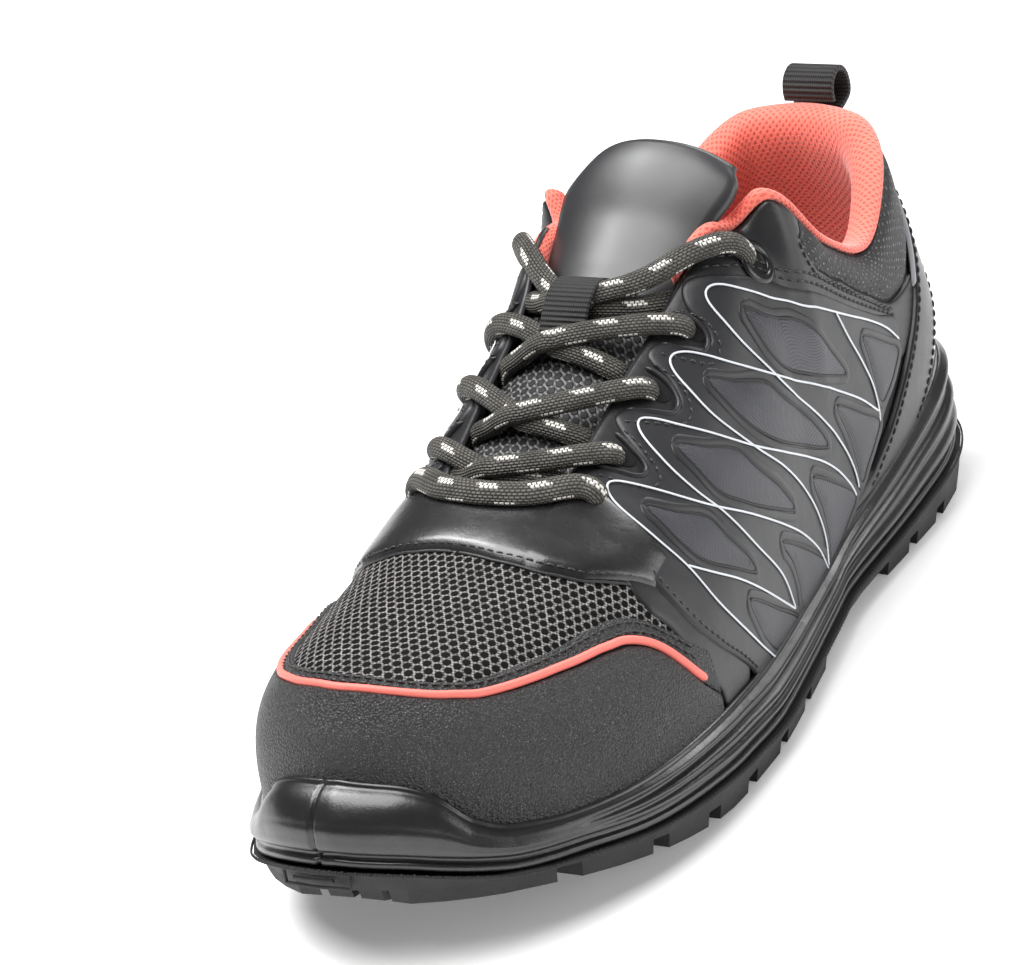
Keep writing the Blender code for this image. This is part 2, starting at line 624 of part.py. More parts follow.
def build_outsole():
    """Outsole: flat top, stepped edge, and rows of lugs under it."""
    marks = [0.0, 0.012, 0.03, 0.045, 0.075, 0.925, 0.943, 0.96]
    table_share = np.array([r[0] for r in SECTIONS])
    table_s = np.array([r[1] for r in SECTIONS])
    rows = []
    for first, last in LUG_ROWS:
        a, b = np.interp([first, last], table_s, table_share)
        marks += [a, b]
        rows.append((a, b))
    marks += [0.10, 0.30, 0.335, 0.37, 0.41, 0.975, 0.988, 1.0]
    for a, b in rows:
        if b - a > 0.05:
            marks.append(0.5 * (a + b))
    shares = np.array(sorted(set(round(m, 4) for m in marks)))
    keep = [0]
    for i in range(1, len(shares)):
        if shares[i] - shares[keep[-1]] > 0.006:
            keep.append(i)
    shares = shares[keep]
    shares[-1] = 1.0
    parts = [0.0]
    for a, b in LUG_COLUMNS:
        parts += [a, b]
    parts = np.array(sorted(set(parts)))
    n = len(shares)
    m = len(parts)
    sweep = LUG_SWEEP * np.sin(np.pi * parts)
    fade = np.clip(np.minimum(shares / 0.08, (1 - shares) / 0.08), 0, 1)

    def sheet(extra, level):
        lateral = np.zeros((n, m, 2))
        split = np.zeros((n, m))
        for j in range(m):
            moved = np.clip(shares - sweep[j] * fade, 0, 1)
            split[:, j] = sole_at(moved)[:, 3] - LIFT / 2
            a = outline(moved, extra)
            b = outline(2 - moved, extra)
            lateral[:, j] = a * (1 - parts[j]) + b * parts[j]
        s = HEEL_Y - lateral[:, :, 1]
        if level == "split":
            z = split
        elif level == "base":
            z = floor_at(s) + LUG
        else:
            z = floor_at(s)
        return np.concatenate([lateral, z[:, :, None]], axis=2)

    top = sheet(1.0, "split")
    base = sheet(-1.0, "base")
    ground = sheet(-2.2, "floor")
    used = np.zeros((n - 1, m - 1), bool)
    for i in range(n - 1):
        middle = 0.5 * (shares[i] + shares[i + 1])
        along = any(a - 0.001 < middle < b + 0.001 for a, b in rows)
        for j in range(m - 1):
            centre = 0.5 * (parts[j] + parts[j + 1])
            used[i, j] = along and any(a < centre < b for a, b in LUG_COLUMNS)
    verts = []
    for grid in (top, base, ground):
        verts += [tuple(p) for p in grid.reshape(-1, 3)]

    def at(grid, i, j):
        if i in (0, n - 1):
            j = 0
        return grid * n * m + i * m + j

    faces = []

    def face(*loop):
        kept = []
        for p in loop:
            if p not in kept:
                kept.append(p)
        if len(kept) > 2:
            faces.append(tuple(kept))

    for i in range(n - 1):
        for j in range(m - 1):
            corner = [(i, j), (i + 1, j), (i + 1, j + 1), (i, j + 1)]
            face(*[at(0, a, b) for a, b in corner])
            level = 2 if used[i, j] else 1
            face(*[at(level, a, b) for a, b in reversed(corner)])
            if used[i, j]:
                for (a, b), (c, d), other in (
                        (corner[0], corner[1], (i, j - 1)), (corner[1], corner[2], (i + 1, j)),
                        (corner[2], corner[3], (i, j + 1)), (corner[3], corner[0], (i - 1, j))):
                    inside = 0 <= other[0] < n - 1 and 0 <= other[1] < m - 1
                    if not (inside and used[other]):
                        face(at(1, a, b), at(1, c, d), at(2, c, d), at(2, a, b))
    for i in range(n - 1):
        for j in (0, m - 1):
            face(at(0, i, j), at(0, i + 1, j), at(1, i + 1, j), at(1, i, j))
    write("outsole", verts, faces, (0.025, 0.025, 0.027), roughness=0.85)


def panel(name, ways, lows, highs, cells, colour, lift=LIFT, thick=PANEL, roughness=0.6):
    """A panel on the upper between two height lines."""
    ways = np.asarray(ways, float)
    steps = np.linspace(0, 1, cells + 1)
    grid = np.repeat(ways[:, None], cells + 1, axis=1)
    lows = np.asarray(lows, float)[:, None]
    highs = np.asarray(highs, float)[:, None]
    heights = lows * (1 - steps) + highs * steps
    lifts = np.broadcast_to(np.reshape(lift, (-1, 1)), grid.shape)
    front = layer(grid, heights, lifts + thick)
    back = layer(grid, heights, lifts)
    return plate(name, front, back, colour, roughness=roughness)


def rim_height(ways, above):
    """Height share just above the midsole's rim."""
    rim = sole_at(share_of(ways))[:, 2]
    return height_at_z(ways, rim + above)


def build_toe():
    fore = [one for one in STATIONS if one > 0.66]
    ways = np.array(fore + [2 - one for one in fore[::-1][1:]])
    low = rim_height(ways, 0.5)
    high = np.maximum(table(CAP_TOP, ways), low + 0.02)
    panel("toe_cap", ways, low, high, 4, (0.03, 0.03, 0.032), roughness=0.55)
    path = []
    up = []
    bead = [w for w in ways if 0.67 < w < 1.33]
    for way in bead:
        height = float(table(CAP_TOP, way)) + 0.03
        path.append(layer(np.array([way]), np.array([height]), np.array([1.15]))[0])
        up.append(outward(np.array([way]), np.array([height]))[0])
    verts, faces = tube(rings_along(path, 1.1, 0.8, up, sides=6))
    write("toe_piping", verts, faces, (0.78, 0.25, 0.2), roughness=0.5)


def build_quarters():
    shares = np.array([one for one in STATIONS if 0.17 < one < 0.66] + [0.66])
    for name, side in (("quarter_lateral", 1), ("quarter_medial", -1)):
        ways = shares if side > 0 else 2 - shares
        low = rim_height(ways, 0.5)
        strap = table(STRAP_FRONT, shares) + 0.03
        low = np.where(shares < 0.33, np.maximum(low, strap), low)
        front = table(QUARTER_FRONT, shares)
        low = np.where(shares > 0.573, np.maximum(low, front), low)
        top = table(QUARTER_TOP, shares)
        edge = edge_height(ways) - 0.025
        high = np.where(shares > 0.44, np.minimum(edge, 0.9), np.minimum(top, edge))
        high = np.maximum(high, low + 0.03)
        lift = 1.2 + 0.9 * np.exp(-((shares - 0.43) / 0.03) ** 2)
        panel(name, ways, low, high, 6, (0.06, 0.06, 0.065), lift=lift, thick=1.0,
              roughness=0.5)


def build_heel():
    shares = np.array([one for one in STATIONS if one < 0.32])
    ways = np.concatenate([2 - shares[::-1], 2 + shares[1:]])
    share = share_of(ways)
    low = np.maximum(table(STRAP_REAR, share), rim_height(ways, 0.5))
    high = np.maximum(table(STRAP_FRONT, share), low + 0.02)
    panel("heel_strap", ways, low, high, 3, (0.025, 0.025, 0.027), roughness=0.4)
    shares = np.array([one for one in STATIONS if one < 0.17])
    ways = np.concatenate([2 - shares[::-1], 2 + shares[1:]])
    share = share_of(ways)
    low = rim_height(ways, 0.5)
    high = np.maximum(table(STRAP_REAR, share) - 0.02, low + 0.015)
    panel("heel_clip", ways, low, high, 3, (0.02, 0.02, 0.022), roughness=0.3)


def build_vamp_band():
    across = np.array([-0.74, -0.63, -0.48, -0.31, -0.16, 0, 0.16, 0.31, 0.48, 0.63, 0.74])
    cells = 3
    rows_front = []
    rows_back = []
    for a in across:
        edge = 0.672 if abs(a) > 0.31 else THROAT_END + 0.006
        front = table(VAMP_FRONT, abs(a))
        column_front = []
        column_back = []
        for k in range(cells + 1):
            share = edge + (front - edge) * k / cells
            column_front.append(over(share, a * HALF_WIDTH, LIFT + PANEL))
            column_back.append(over(share, a * HALF_WIDTH, LIFT + 0.2))
        rows_front.append(column_front)
        rows_back.append(column_back)
    plate("vamp_band", np.array(rows_front), np.array(rows_back), (0.02, 0.02, 0.022),
          roughness=0.35)


def build_tongue():
    across = np.linspace(-1, 1, 7)
    rows = []
    for share, half, thick in TONGUE:
        row = [over(share, a * half * HALF_WIDTH, -TONGUE_DOWN) for a in across]
        rows.append((np.array(row), thick * TONGUE_THICK))
    last = rows[-1][0]
    half_last = TONGUE[-1][1]
    for forward, up, half, thick in TONGUE_TOP:
        row = last.copy()
        middle = row[3].copy()
        row = middle + (row - middle) * half / half_last
        row[:, 1] -= forward * LENGTH
        row[:, 2] += up * HEEL_TOP
        rows.append((row, thick * TONGUE_THICK))
    front = np.array([r[0] for r in rows])
    back = np.zeros_like(front)
    for i in range(len(rows)):
        ahead = front[min(i + 1, len(rows) - 1)] - front[max(i - 1, 0)]
        for j in range(len(across)):
            side = front[i, min(j + 1, len(across) - 1)] - front[i, max(j - 1, 0)]
            n = np.cross(ahead[j], side)
            n = n / np.linalg.norm(n)
            if n[2] < 0:
                n = -n
            thin = 1 - 0.45 * abs(across[j]) ** 3
            back[i, j] = front[i, j] - n * rows[i][1] * thin
    plate("tongue", front, back, (0.035, 0.035, 0.037), roughness=0.5)


# Sections of the padded collar: mm outward, mm beyond the wall's edge
COLLAR_PAD = [(-3.5, -14), (-3.4, -7), (-3.2, 0.9), (0.2, 0.9), (0.7, 2.4), (-1.2, 4.6),
              (-4.6, 4.8), (-8.0, 2.0), (-9.0, -4), (-6.5, -13)]
THROAT_PAD = [(-3.0, 1.5), (-2.9, 1.2), (-2.8, 0.9), (0.2, 0.9), (0.7, 1.6), (0.2, 2.9),
              (-0.9, 3.3), (-2.0, 3.1), (-3.0, 2.6), (-3.1, 2.0)]


def build_collar():
    shares = np.array([one for one in STATIONS if one < WRAP_END] + [WRAP_END])
    ways = np.concatenate([2 - shares[::-1], 2 + shares[1:]])
    step = 0.02
    rings = []
    for way in ways:
        share = float(share_of(way))
        edge = edge_height(np.array([way]))
        here = np.array([way])
        rim = skin(here, edge)[0]
        up = rim - skin(here, edge - step)[0]
        per_share = np.linalg.norm(up) / step
        up = up / np.linalg.norm(up)
        n = outward(here, edge)[0]
        mix = float(np.clip((share - 0.27) / 0.08, 0, 1))
        # the wall turns sharply where the collar becomes the throat: stand off it there
        spare = 1.4 * np.exp(-((share - 0.352) / 0.03) ** 2)
        ring = []
        for (a, b), (c, d) in zip(COLLAR_PAD, THROAT_PAD):
            out = a * (1 - mix) + c * mix
            far = b * (1 - mix) + d * mix
            if out < -2.7:
                out -= spare
            if 0 < far < 1.7:
                far += spare
            if far < 0:
                ring.append(layer(here, edge + far / per_share, np.array([out]))[0])
            else:
                ring.append(rim + n * out + up * far)
        rings.append(ring)
    verts, faces = tube(rings)
    write("collar_lining", verts, faces, (0.85, 0.12, 0.05), roughness=0.8)


def build_rings():
    for name, side in (("eyelet_ring_lateral", 1), ("eyelet_ring_medial", -1)):
        share, across = RING if side > 0 else RING_MEDIAL
        height = height_across(share, side, across * HALF_WIDTH)
        way = share if side > 0 else 2 - share
        centre = layer(np.array([way]), np.array([height]), np.array([LIFT + 1.5]))[0]
        n = outward(np.array([way]), np.array([height]))[0]
        first = np.cross(n, np.array([0, 0, 1.0]))
        first = first / np.linalg.norm(first)
        second = np.cross(n, first)
        rings = []
        for turn in np.linspace(0, 2 * np.pi, 16, endpoint=False):
            away = first * np.cos(turn) + second * np.sin(turn)
            middle = centre + away * 4.3
            ring = []
            for lean in np.linspace(0, 2 * np.pi, 6, endpoint=False):
                ring.append(middle + away * 1.1 * np.cos(lean) + n * 0.6 * np.sin(lean))
            rings.append(ring)
        verts, faces = tube(rings, closed=True)
        write(name, verts, faces, (0.02, 0.02, 0.02), roughness=0.3)


def lace_path(start, end, lifts, steps=11):
    """A strand over the tongue between two places (share, across); lifts is a table of
    the share of the way along and the height over the upper's surface."""
    points = []
    ups = []
    for k in range(steps):
        f = k / (steps - 1)
        share = start[0] * (1 - f) + end[0] * f
        across = (start[1] * (1 - f) + end[1] * f) * HALF_WIDTH
        lift = float(table(lifts, f))
        p = over(share, across, lift)
        q = over(share, across, lift + 1)
        points.append(p)
        ups.append(q - p)
    return points, ups


def build_laces():
    share, across = HOLES[0]
    path, ups = lace_path((share, across + 0.02), (share, -across - 0.02),
                          [(0, BAR_LIFT), (1, BAR_LIFT)])
    verts, faces = tube(rings_along(path, LACE_W + 0.6, LACE_H, ups))
    write("lace_bar", verts, faces, (0.04, 0.04, 0.04), roughness=0.8)
    for k in range(4):
        name = "lace_cross_" + str(k + 1)
        share_low = min(HOLES[k][0] - 0.022, THROAT_END - 0.029)
        inner = float(table(THROAT, HOLES[k][0])) - (LACE_W + 2.3) / HALF_WIDTH
        top_lateral = HOLES[k + 1] if k < 3 else RING
        top_medial = HOLES[k + 1] if k < 3 else RING_MEDIAL
        reach = HOLE_LIFT if k < 3 else RING_LIFT
        first, up_first = lace_path((share_low, inner), (top_medial[0], -top_medial[1]),
                                    [(0, UNDER_LIFT), (0.5, UNDER_LIFT), (0.7, 0.8 * reach),
                                     (0.8, reach), (1, reach)])
        second, up_second = lace_path((share_low, -inner), top_lateral,
                                      [(0, UNDER_LIFT), (0.3, OVER_LIFT), (0.5, OVER_LIFT),
                                       (0.7, reach), (1, reach)])
        verts, faces = tube(rings_along(first, LACE_W, LACE_H, up_first))
        body = write(name, verts, faces, (0.04, 0.04, 0.04), roughness=0.8)
        verts, faces = tube(rings_along(second, LACE_W, LACE_H, up_second))
        other = write(name + "_over", verts, faces, (0.04, 0.04, 0.04), roughness=0.8)
        cut(body, other, "UNION")


def build_loops():
    """The webbing loop behind the heel, and the one on the tongue for the lace."""
    rim = skin(np.array([0.0]), np.array([1.0]))[0]
    # forward of the wall's top, above it, along the middle of the strip, of LOOP_HIGH
    shape = [(0.11, 0.45), (0.10, 0.68), (-0.03, 0.90), (-0.27, 1.0), (-0.51, 0.89),
             (-0.63, 0.62), (-0.58, 0.28)]
    line = [(HEEL_Y - rim[1] + a * LOOP_HIGH, rim[2] + b * LOOP_HIGH) for a, b in shape]
    for height in (0.985, 0.95, 0.91, 0.87):
        lift = PANEL + LIFT + GAP + WEBBING / 2
        x, y, z = layer(np.array([0.0]), np.array([height]), np.array([lift]))[0]
        line.append((HEEL_Y - y, z))
    half_wide = LOOP_WIDE / 2
    half_thick = WEBBING / 2
    front = []
    back = []
    for k, (s, z) in enumerate(line):
        before = line[max(k - 1, 0)]
        after = line[min(k + 1, len(line) - 1)]
        run = np.array([after[0] - before[0], after[1] - before[1]], float)
        run = run / np.linalg.norm(run)
        n = np.array([-run[1], run[0]])
        front.append([(x, HEEL_Y - (s + n[0] * half_thick), z + n[1] * half_thick)
                      for x in (-half_wide, 0, half_wide)])
        back.append([(x, HEEL_Y - (s - n[0] * half_thick), z - n[1] * half_thick)
                     for x in (-half_wide, 0, half_wide)])
    plate("pull_loop", np.array(front), np.array(back), (0.03, 0.03, 0.03), roughness=0.9)


clean_scene()
build_outsole()
build_midsole()
build_insole()
build_upper()
build_tongue()
build_collar()
build_toe()
build_vamp_band()
build_quarters()
build_heel()
build_rings()
build_laces()
build_loops()
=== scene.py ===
import math
import bpy
import numpy as np
from mathutils import Matrix, Vector
from mathutils.geometry import delaunay_2d_cdt


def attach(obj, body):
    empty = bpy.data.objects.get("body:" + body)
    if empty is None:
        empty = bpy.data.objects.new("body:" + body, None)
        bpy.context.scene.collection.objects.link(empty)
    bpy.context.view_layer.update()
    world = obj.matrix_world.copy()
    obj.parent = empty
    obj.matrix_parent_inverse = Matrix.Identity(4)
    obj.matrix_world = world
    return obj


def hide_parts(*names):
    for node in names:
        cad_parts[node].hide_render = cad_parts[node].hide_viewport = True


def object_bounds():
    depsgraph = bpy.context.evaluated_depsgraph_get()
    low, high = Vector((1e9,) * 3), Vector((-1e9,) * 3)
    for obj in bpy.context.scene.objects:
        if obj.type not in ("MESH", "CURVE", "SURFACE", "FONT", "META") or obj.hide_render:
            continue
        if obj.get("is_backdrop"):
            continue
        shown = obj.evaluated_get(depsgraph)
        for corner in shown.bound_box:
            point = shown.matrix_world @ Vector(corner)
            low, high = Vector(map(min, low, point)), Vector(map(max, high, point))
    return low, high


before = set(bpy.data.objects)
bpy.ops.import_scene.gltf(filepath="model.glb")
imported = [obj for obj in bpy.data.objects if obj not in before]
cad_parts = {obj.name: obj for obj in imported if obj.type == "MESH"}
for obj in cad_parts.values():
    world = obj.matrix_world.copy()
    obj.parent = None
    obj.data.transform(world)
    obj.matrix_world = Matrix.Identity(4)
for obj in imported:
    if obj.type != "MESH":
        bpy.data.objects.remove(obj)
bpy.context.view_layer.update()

# ---- Midsole
# One moulding of glossy polyurethane: a rim round the upper, rolls along the side, a tall
# bumper over the toe with a mould seam, and a narrow groove above the outsole.

# Every piece below is laid on this one surface: way runs once round the shoe from the
# heel (0) by the outer side (0 to 1), the toe (1) and the inner side (1 to 2), and height
# runs up from the featherline (0) to the collar's edge or the ridge over the foot (1).
MM = 0.001
LENGTH = 305.0
HALF_WIDTH = 54.0
HEEL_TOP = 110.0
HEEL_Y = 0.49532 * LENGTH
MIDDLE_X = 0.0053 * HALF_WIDTH
# share, lateral s, x, medial s, x, feather z, top s lateral, medial, top middle x,
# top half width, top z, rise, lean, crown, fall (degrees)
SECTIONS = [
    (0, 0.02, 0, 0.02, 0, 0.327, 0.026, 0.026, 0, 0, 1, 0.236, 0.093, 0.444, 92),
    (0.055, 0.03, 0.37, 0.03, -0.352, 0.327, 0.039, 0.039, 0, 0.333,
     0.991, 0.236, 0.093, 0.444, 92),
    (0.125, 0.082, 0.611, 0.085, -0.574, 0.309, 0.085, 0.085, 0,
     0.556, 0.918, 0.218, 0.111, 0.407, 88),
    (0.205, 0.164, 0.685, 0.164, -0.648, 0.273, 0.164, 0.164, 0,
     0.648, 0.805, 0.182, 0.093, 0.296, 82),
    (0.285, 0.256, 0.704, 0.259, -0.63, 0.236, 0.246, 0.259, 0,
     0.667, 0.927, 0.255, 0.093, 0.37, 76),
    (0.355, 0.334, 0.722, 0.338, -0.611, 0.209, 0.308, 0.328, 0,
     0.62, 1.127, 0.455, 0.093, 0.444, 72),
    (0.405, 0.393, 0.769, 0.397, -0.62, 0.191, 0.364, 0.364, -0.056,
     0, 1.191, 0.709, 0.056, 0.722, 3),
    (0.48, 0.479, 0.852, 0.485, -0.685, 0.191, 0.452, 0.452, -0.074,
     0, 1.05, 0.564, 0.056, 0.648, 3),
    (0.56, 0.564, 0.935, 0.574, -0.806, 0.2, 0.534, 0.534, -0.074, 0,
     0.945, 0.455, 0.056, 0.593, 2),
    (0.635, 0.643, 0.991, 0.659, -0.907, 0.218, 0.616, 0.616, -0.056,
     0, 0.85, 0.345, 0.056, 0.556, 0),
    (0.71, 0.721, 1, 0.741, -0.963, 0.236, 0.695, 0.695, -0.037, 0, 0.773, 0.309, 0.037, 0.556, 0),
    (0.78, 0.793, 0.926, 0.81, -0.954, 0.245, 0.761, 0.761, -0.037,
     0, 0.727, 0.3, 0.037, 0.556, 0),
    (0.84, 0.846, 0.796, 0.862, -0.88, 0.255, 0.807, 0.807, -0.056,
     0, 0.705, 0.318, 0.037, 0.556, 0),
    (0.91, 0.902, 0.574, 0.911, -0.713, 0.282, 0.833, 0.833, -0.074,
     0, 0.691, 0.327, 0.037, 0.556, 0),
    (0.96, 0.938, 0.296, 0.941, -0.472, 0.327, 0.839, 0.839, -0.093,
     0, 0.687, 0.309, 0.037, 0.556, 0),
    (1, 0.954, -0.093, 0.954, -0.093, 0.364, 0.843, 0.843, -0.093, 0,
     0.686, 0.291, 0.037, 0.556, 0),
]
# share, outward lateral, outward medial, rim z, split z (midsole on outsole)
SOLE = [
    (0, 0.093, 0.093, 0.4, 0.2),
    (0.055, 0.093, 0.093, 0.395, 0.155),
    (0.125, 0.093, 0.093, 0.373, 0.127),
    (0.205, 0.074, 0.074, 0.318, 0.105),
    (0.285, 0.056, 0.065, 0.268, 0.086),
    (0.355, 0.056, 0.056, 0.236, 0.082),
    (0.405, 0.074, 0.056, 0.218, 0.082),
    (0.48, 0.093, 0.065, 0.218, 0.082),
    (0.56, 0.102, 0.074, 0.227, 0.082),
    (0.635, 0.074, 0.093, 0.245, 0.091),
    (0.71, 0.065, 0.093, 0.259, 0.114),
    (0.78, 0.065, 0.093, 0.264, 0.136),
    (0.84, 0.074, 0.093, 0.273, 0.164),
    (0.91, 0.111, 0.13, 0.305, 0.195),
    (0.935, 0.13, 0.148, 0.345, 0.218),
    (0.957, 0.157, 0.176, 0.427, 0.245),
    (0.975, 0.185, 0.204, 0.459, 0.268),
    (1, 0.222, 0.222, 0.473, 0.286),
]


def steady(xs, ys, at):
    """Curve through the rows that never passes beyond them."""
    at = np.clip(at, xs[0], xs[-1])
    step = np.diff(xs)[:, None]
    rate = np.diff(ys, axis=0) / step
    slope = np.zeros_like(ys)
    rear = 2 * step[1:] + step[:-1]
    fore = step[1:] + 2 * step[:-1]
    same = rate[1:] * rate[:-1] > 0
    a = np.where(same, rate[:-1], 1.0)
    b = np.where(same, rate[1:], 1.0)
    slope[1:-1] = np.where(same, (rear + fore) / (rear / a + fore / b), 0.0)
    slope[0] = rate[0]
    slope[-1] = rate[-1]
    k = np.clip(np.searchsorted(xs, at, side="right") - 1, 0, len(xs) - 2)
    h = step[k]
    f = ((at - xs[k])[:, None]) / h
    low = (1 + 2 * f) * (1 - f) ** 2 * ys[k] + f * (1 - f) ** 2 * h * slope[k]
    high = f * f * (3 - 2 * f) * ys[k + 1] + f * f * (f - 1) * h * slope[k + 1]
    return low + high


def smooth(xs, ys, at):
    """Cubic spline through the rows."""
    n = len(xs)
    h = np.diff(xs)
    left = np.eye(n)
    right = np.zeros_like(ys)
    for i in range(1, n - 1):
        left[i, i - 1:i + 2] = (h[i - 1], 2 * (h[i - 1] + h[i]), h[i])
        right[i] = 6 * ((ys[i + 1] - ys[i]) / h[i] - (ys[i] - ys[i - 1]) / h[i - 1])
    bend = np.linalg.solve(left, right)
    k = np.clip(np.searchsorted(xs, at, side="right") - 1, 0, n - 2)
    a = ((xs[k + 1] - at) / h[k])[:, None]
    c = 1 - a
    sixth = (h[k] ** 2)[:, None] / 6
    curve = ((a ** 3 - a) * bend[k] + (c ** 3 - c) * bend[k + 1]) * sixth
    return a * ys[k] + c * ys[k + 1] + curve


def section_loop():
    """The sections once round the shoe, heel, lateral, toe, medial, three times over."""
    rows = np.array(SECTIONS, float)
    rows[:, [1, 3, 6, 7]] *= LENGTH
    rows[:, [2, 4, 8, 9, 12, 13]] *= HALF_WIDTH
    rows[:, [5, 10, 11]] *= HEEL_TOP
    lateral = rows[:, [0, 1, 2, 5, 6, 8, 10, 11, 12, 13, 14]].copy()
    lateral[:, 5] += rows[:, 9]
    medial = rows[:, [0, 3, 4, 5, 7, 8, 10, 11, 12, 13, 14]].copy()
    medial[:, 0] = 2 - medial[:, 0]
    medial[:, 5] -= rows[:, 9]
    once = np.vstack([lateral, medial[::-1][1:-1]])
    turns = []
    for turn in (-2.0, 0.0, 2.0):
        copy = once.copy()
        copy[:, 0] += turn
        turns.append(copy)
    return np.vstack(turns)


LOOP = section_loop()


def sole_at(share):
    data = np.array(SOLE, float)
    found = steady(data[:, 0], data[:, 1:], np.atleast_1d(np.asarray(share, float)))
    return found * np.array([HALF_WIDTH, HALF_WIDTH, HEEL_TOP, HEEL_TOP])


def share_of(way):
    way = np.mod(way, 2.0)
    return np.where(way > 1, 2 - way, way)


def unit(lines):
    """The same directions, each of length 1."""
    return lines / np.linalg.norm(lines, axis=-1)[..., None]


def feather(way):
    """Featherline points (s, x, z) and outward directions (s, x)."""
    way = np.mod(np.atleast_1d(np.asarray(way, float)), 2.0)
    base = smooth(LOOP[:, 0], LOOP[:, 1:4], way)
    step = 0.001
    ahead = smooth(LOOP[:, 0], LOOP[:, 1:3], way + step)
    behind = smooth(LOOP[:, 0], LOOP[:, 1:3], way - step)
    along = ahead - behind
    out = np.stack([-along[:, 1], along[:, 0]], axis=1)
    return base, unit(out)


def skin(way, height):
    """Points on the outside of the upper. height is 0 at the featherline, 1 on top."""
    way, height = np.broadcast_arrays(np.asarray(way, float), np.asarray(height, float))
    shape = way.shape
    base, out = feather(way.ravel())
    top = steady(LOOP[:, 0], LOOP[:, 4:], np.mod(way.ravel(), 2.0))
    h = height.ravel()[:, None]
    rise, lean, crown = top[:, 3], top[:, 4], top[:, 5]
    fall = np.radians(top[:, 6])
    first = base + np.stack([out[:, 0] * lean, out[:, 1] * lean, rise], axis=1)
    last = top[:, :3]
    reach = crown * np.cos(fall)
    third = last + np.stack([out[:, 0] * reach, out[:, 1] * reach,
                             -crown * np.sin(fall)], axis=1)
    point = ((1 - h) ** 3 * base + 3 * (1 - h) ** 2 * h * first
             + 3 * (1 - h) * h * h * third + h ** 3 * last)
    placed = np.stack([point[:, 1], HEEL_Y - point[:, 0], point[:, 2]], axis=1)
    return placed.reshape(shape + (3,))


def outward(way, height):
    """Unit normals of the upper, pointing out."""
    step = 0.002
    low = np.clip(height - step, 0, 1)
    high = np.clip(height + step, 0, 1)
    up = skin(way, high) - skin(way, low)
    along = skin(way + step, height) - skin(way - step, height)
    n = np.cross(up, along)
    n = n / np.maximum(np.linalg.norm(n, axis=-1), 1e-9)[..., None]
    return n


def layer(way, height, lift):
    """Points at a distance above (or below, negative) the outside of the upper."""
    return skin(way, height) + outward(way, height) * np.asarray(lift, float)[..., None]


def height_at_z(way, z, top=0.6):
    """Height where the wall reaches z, between the featherline and top."""
    way = np.ravel(way)
    tries = np.linspace(0, top, int(top * 100) + 1)
    levels = skin(way[:, None] + 0 * tries, tries[None, :] + 0 * way[:, None])[..., 2]
    return np.array([np.interp(a, b, tries) for a, b in zip(np.ravel(z), levels)])


class Wire:
    """One value in a finish. It can be added, multiplied and compared."""

    def __init__(self, paint, socket):
        self.paint = paint
        self.socket = socket

    def math(self, operation, *others):
        made = self.paint.tree.nodes.new("ShaderNodeMath")
        made.operation = operation
        for place, value in enumerate((self,) + others):
            self.paint.put(made.inputs[place], value)
        return Wire(self.paint, made.outputs[0])

    def __add__(self, other):
        return self.math("ADD", other)

    __radd__ = __add__

    def __mul__(self, other):
        return self.math("MULTIPLY", other)

    __rmul__ = __mul__

    def __sub__(self, other):
        return self.math("SUBTRACT", other)

    def __rsub__(self, other):
        return self * -1.0 + other

    def __truediv__(self, other):
        return self.math("DIVIDE", other)

    def __pow__(self, other):
        return self.math("POWER", other)

    def __gt__(self, other):
        return self.math("GREATER_THAN", other)

    def __lt__(self, other):
        return self.math("LESS_THAN", other)

    def fraction(self):
        return self.math("FRACT")

    def whole(self):
        return self.math("FLOOR")

    def size(self):
        return self.math("ABSOLUTE")

    def sine(self):
        return self.math("SINE")

    def root(self):
        return self.math("SQRT")

    def least(self, other):
        return self.math("MINIMUM", other)

    def most(self, other):
        return self.math("MAXIMUM", other)

    def ease(self, low, high):
        """0 below low, 1 above high, soft between."""
        t = ((self - low) / (high - low)).most(0.0).least(1.0)
        return t * t * (3.0 - t * 2.0)


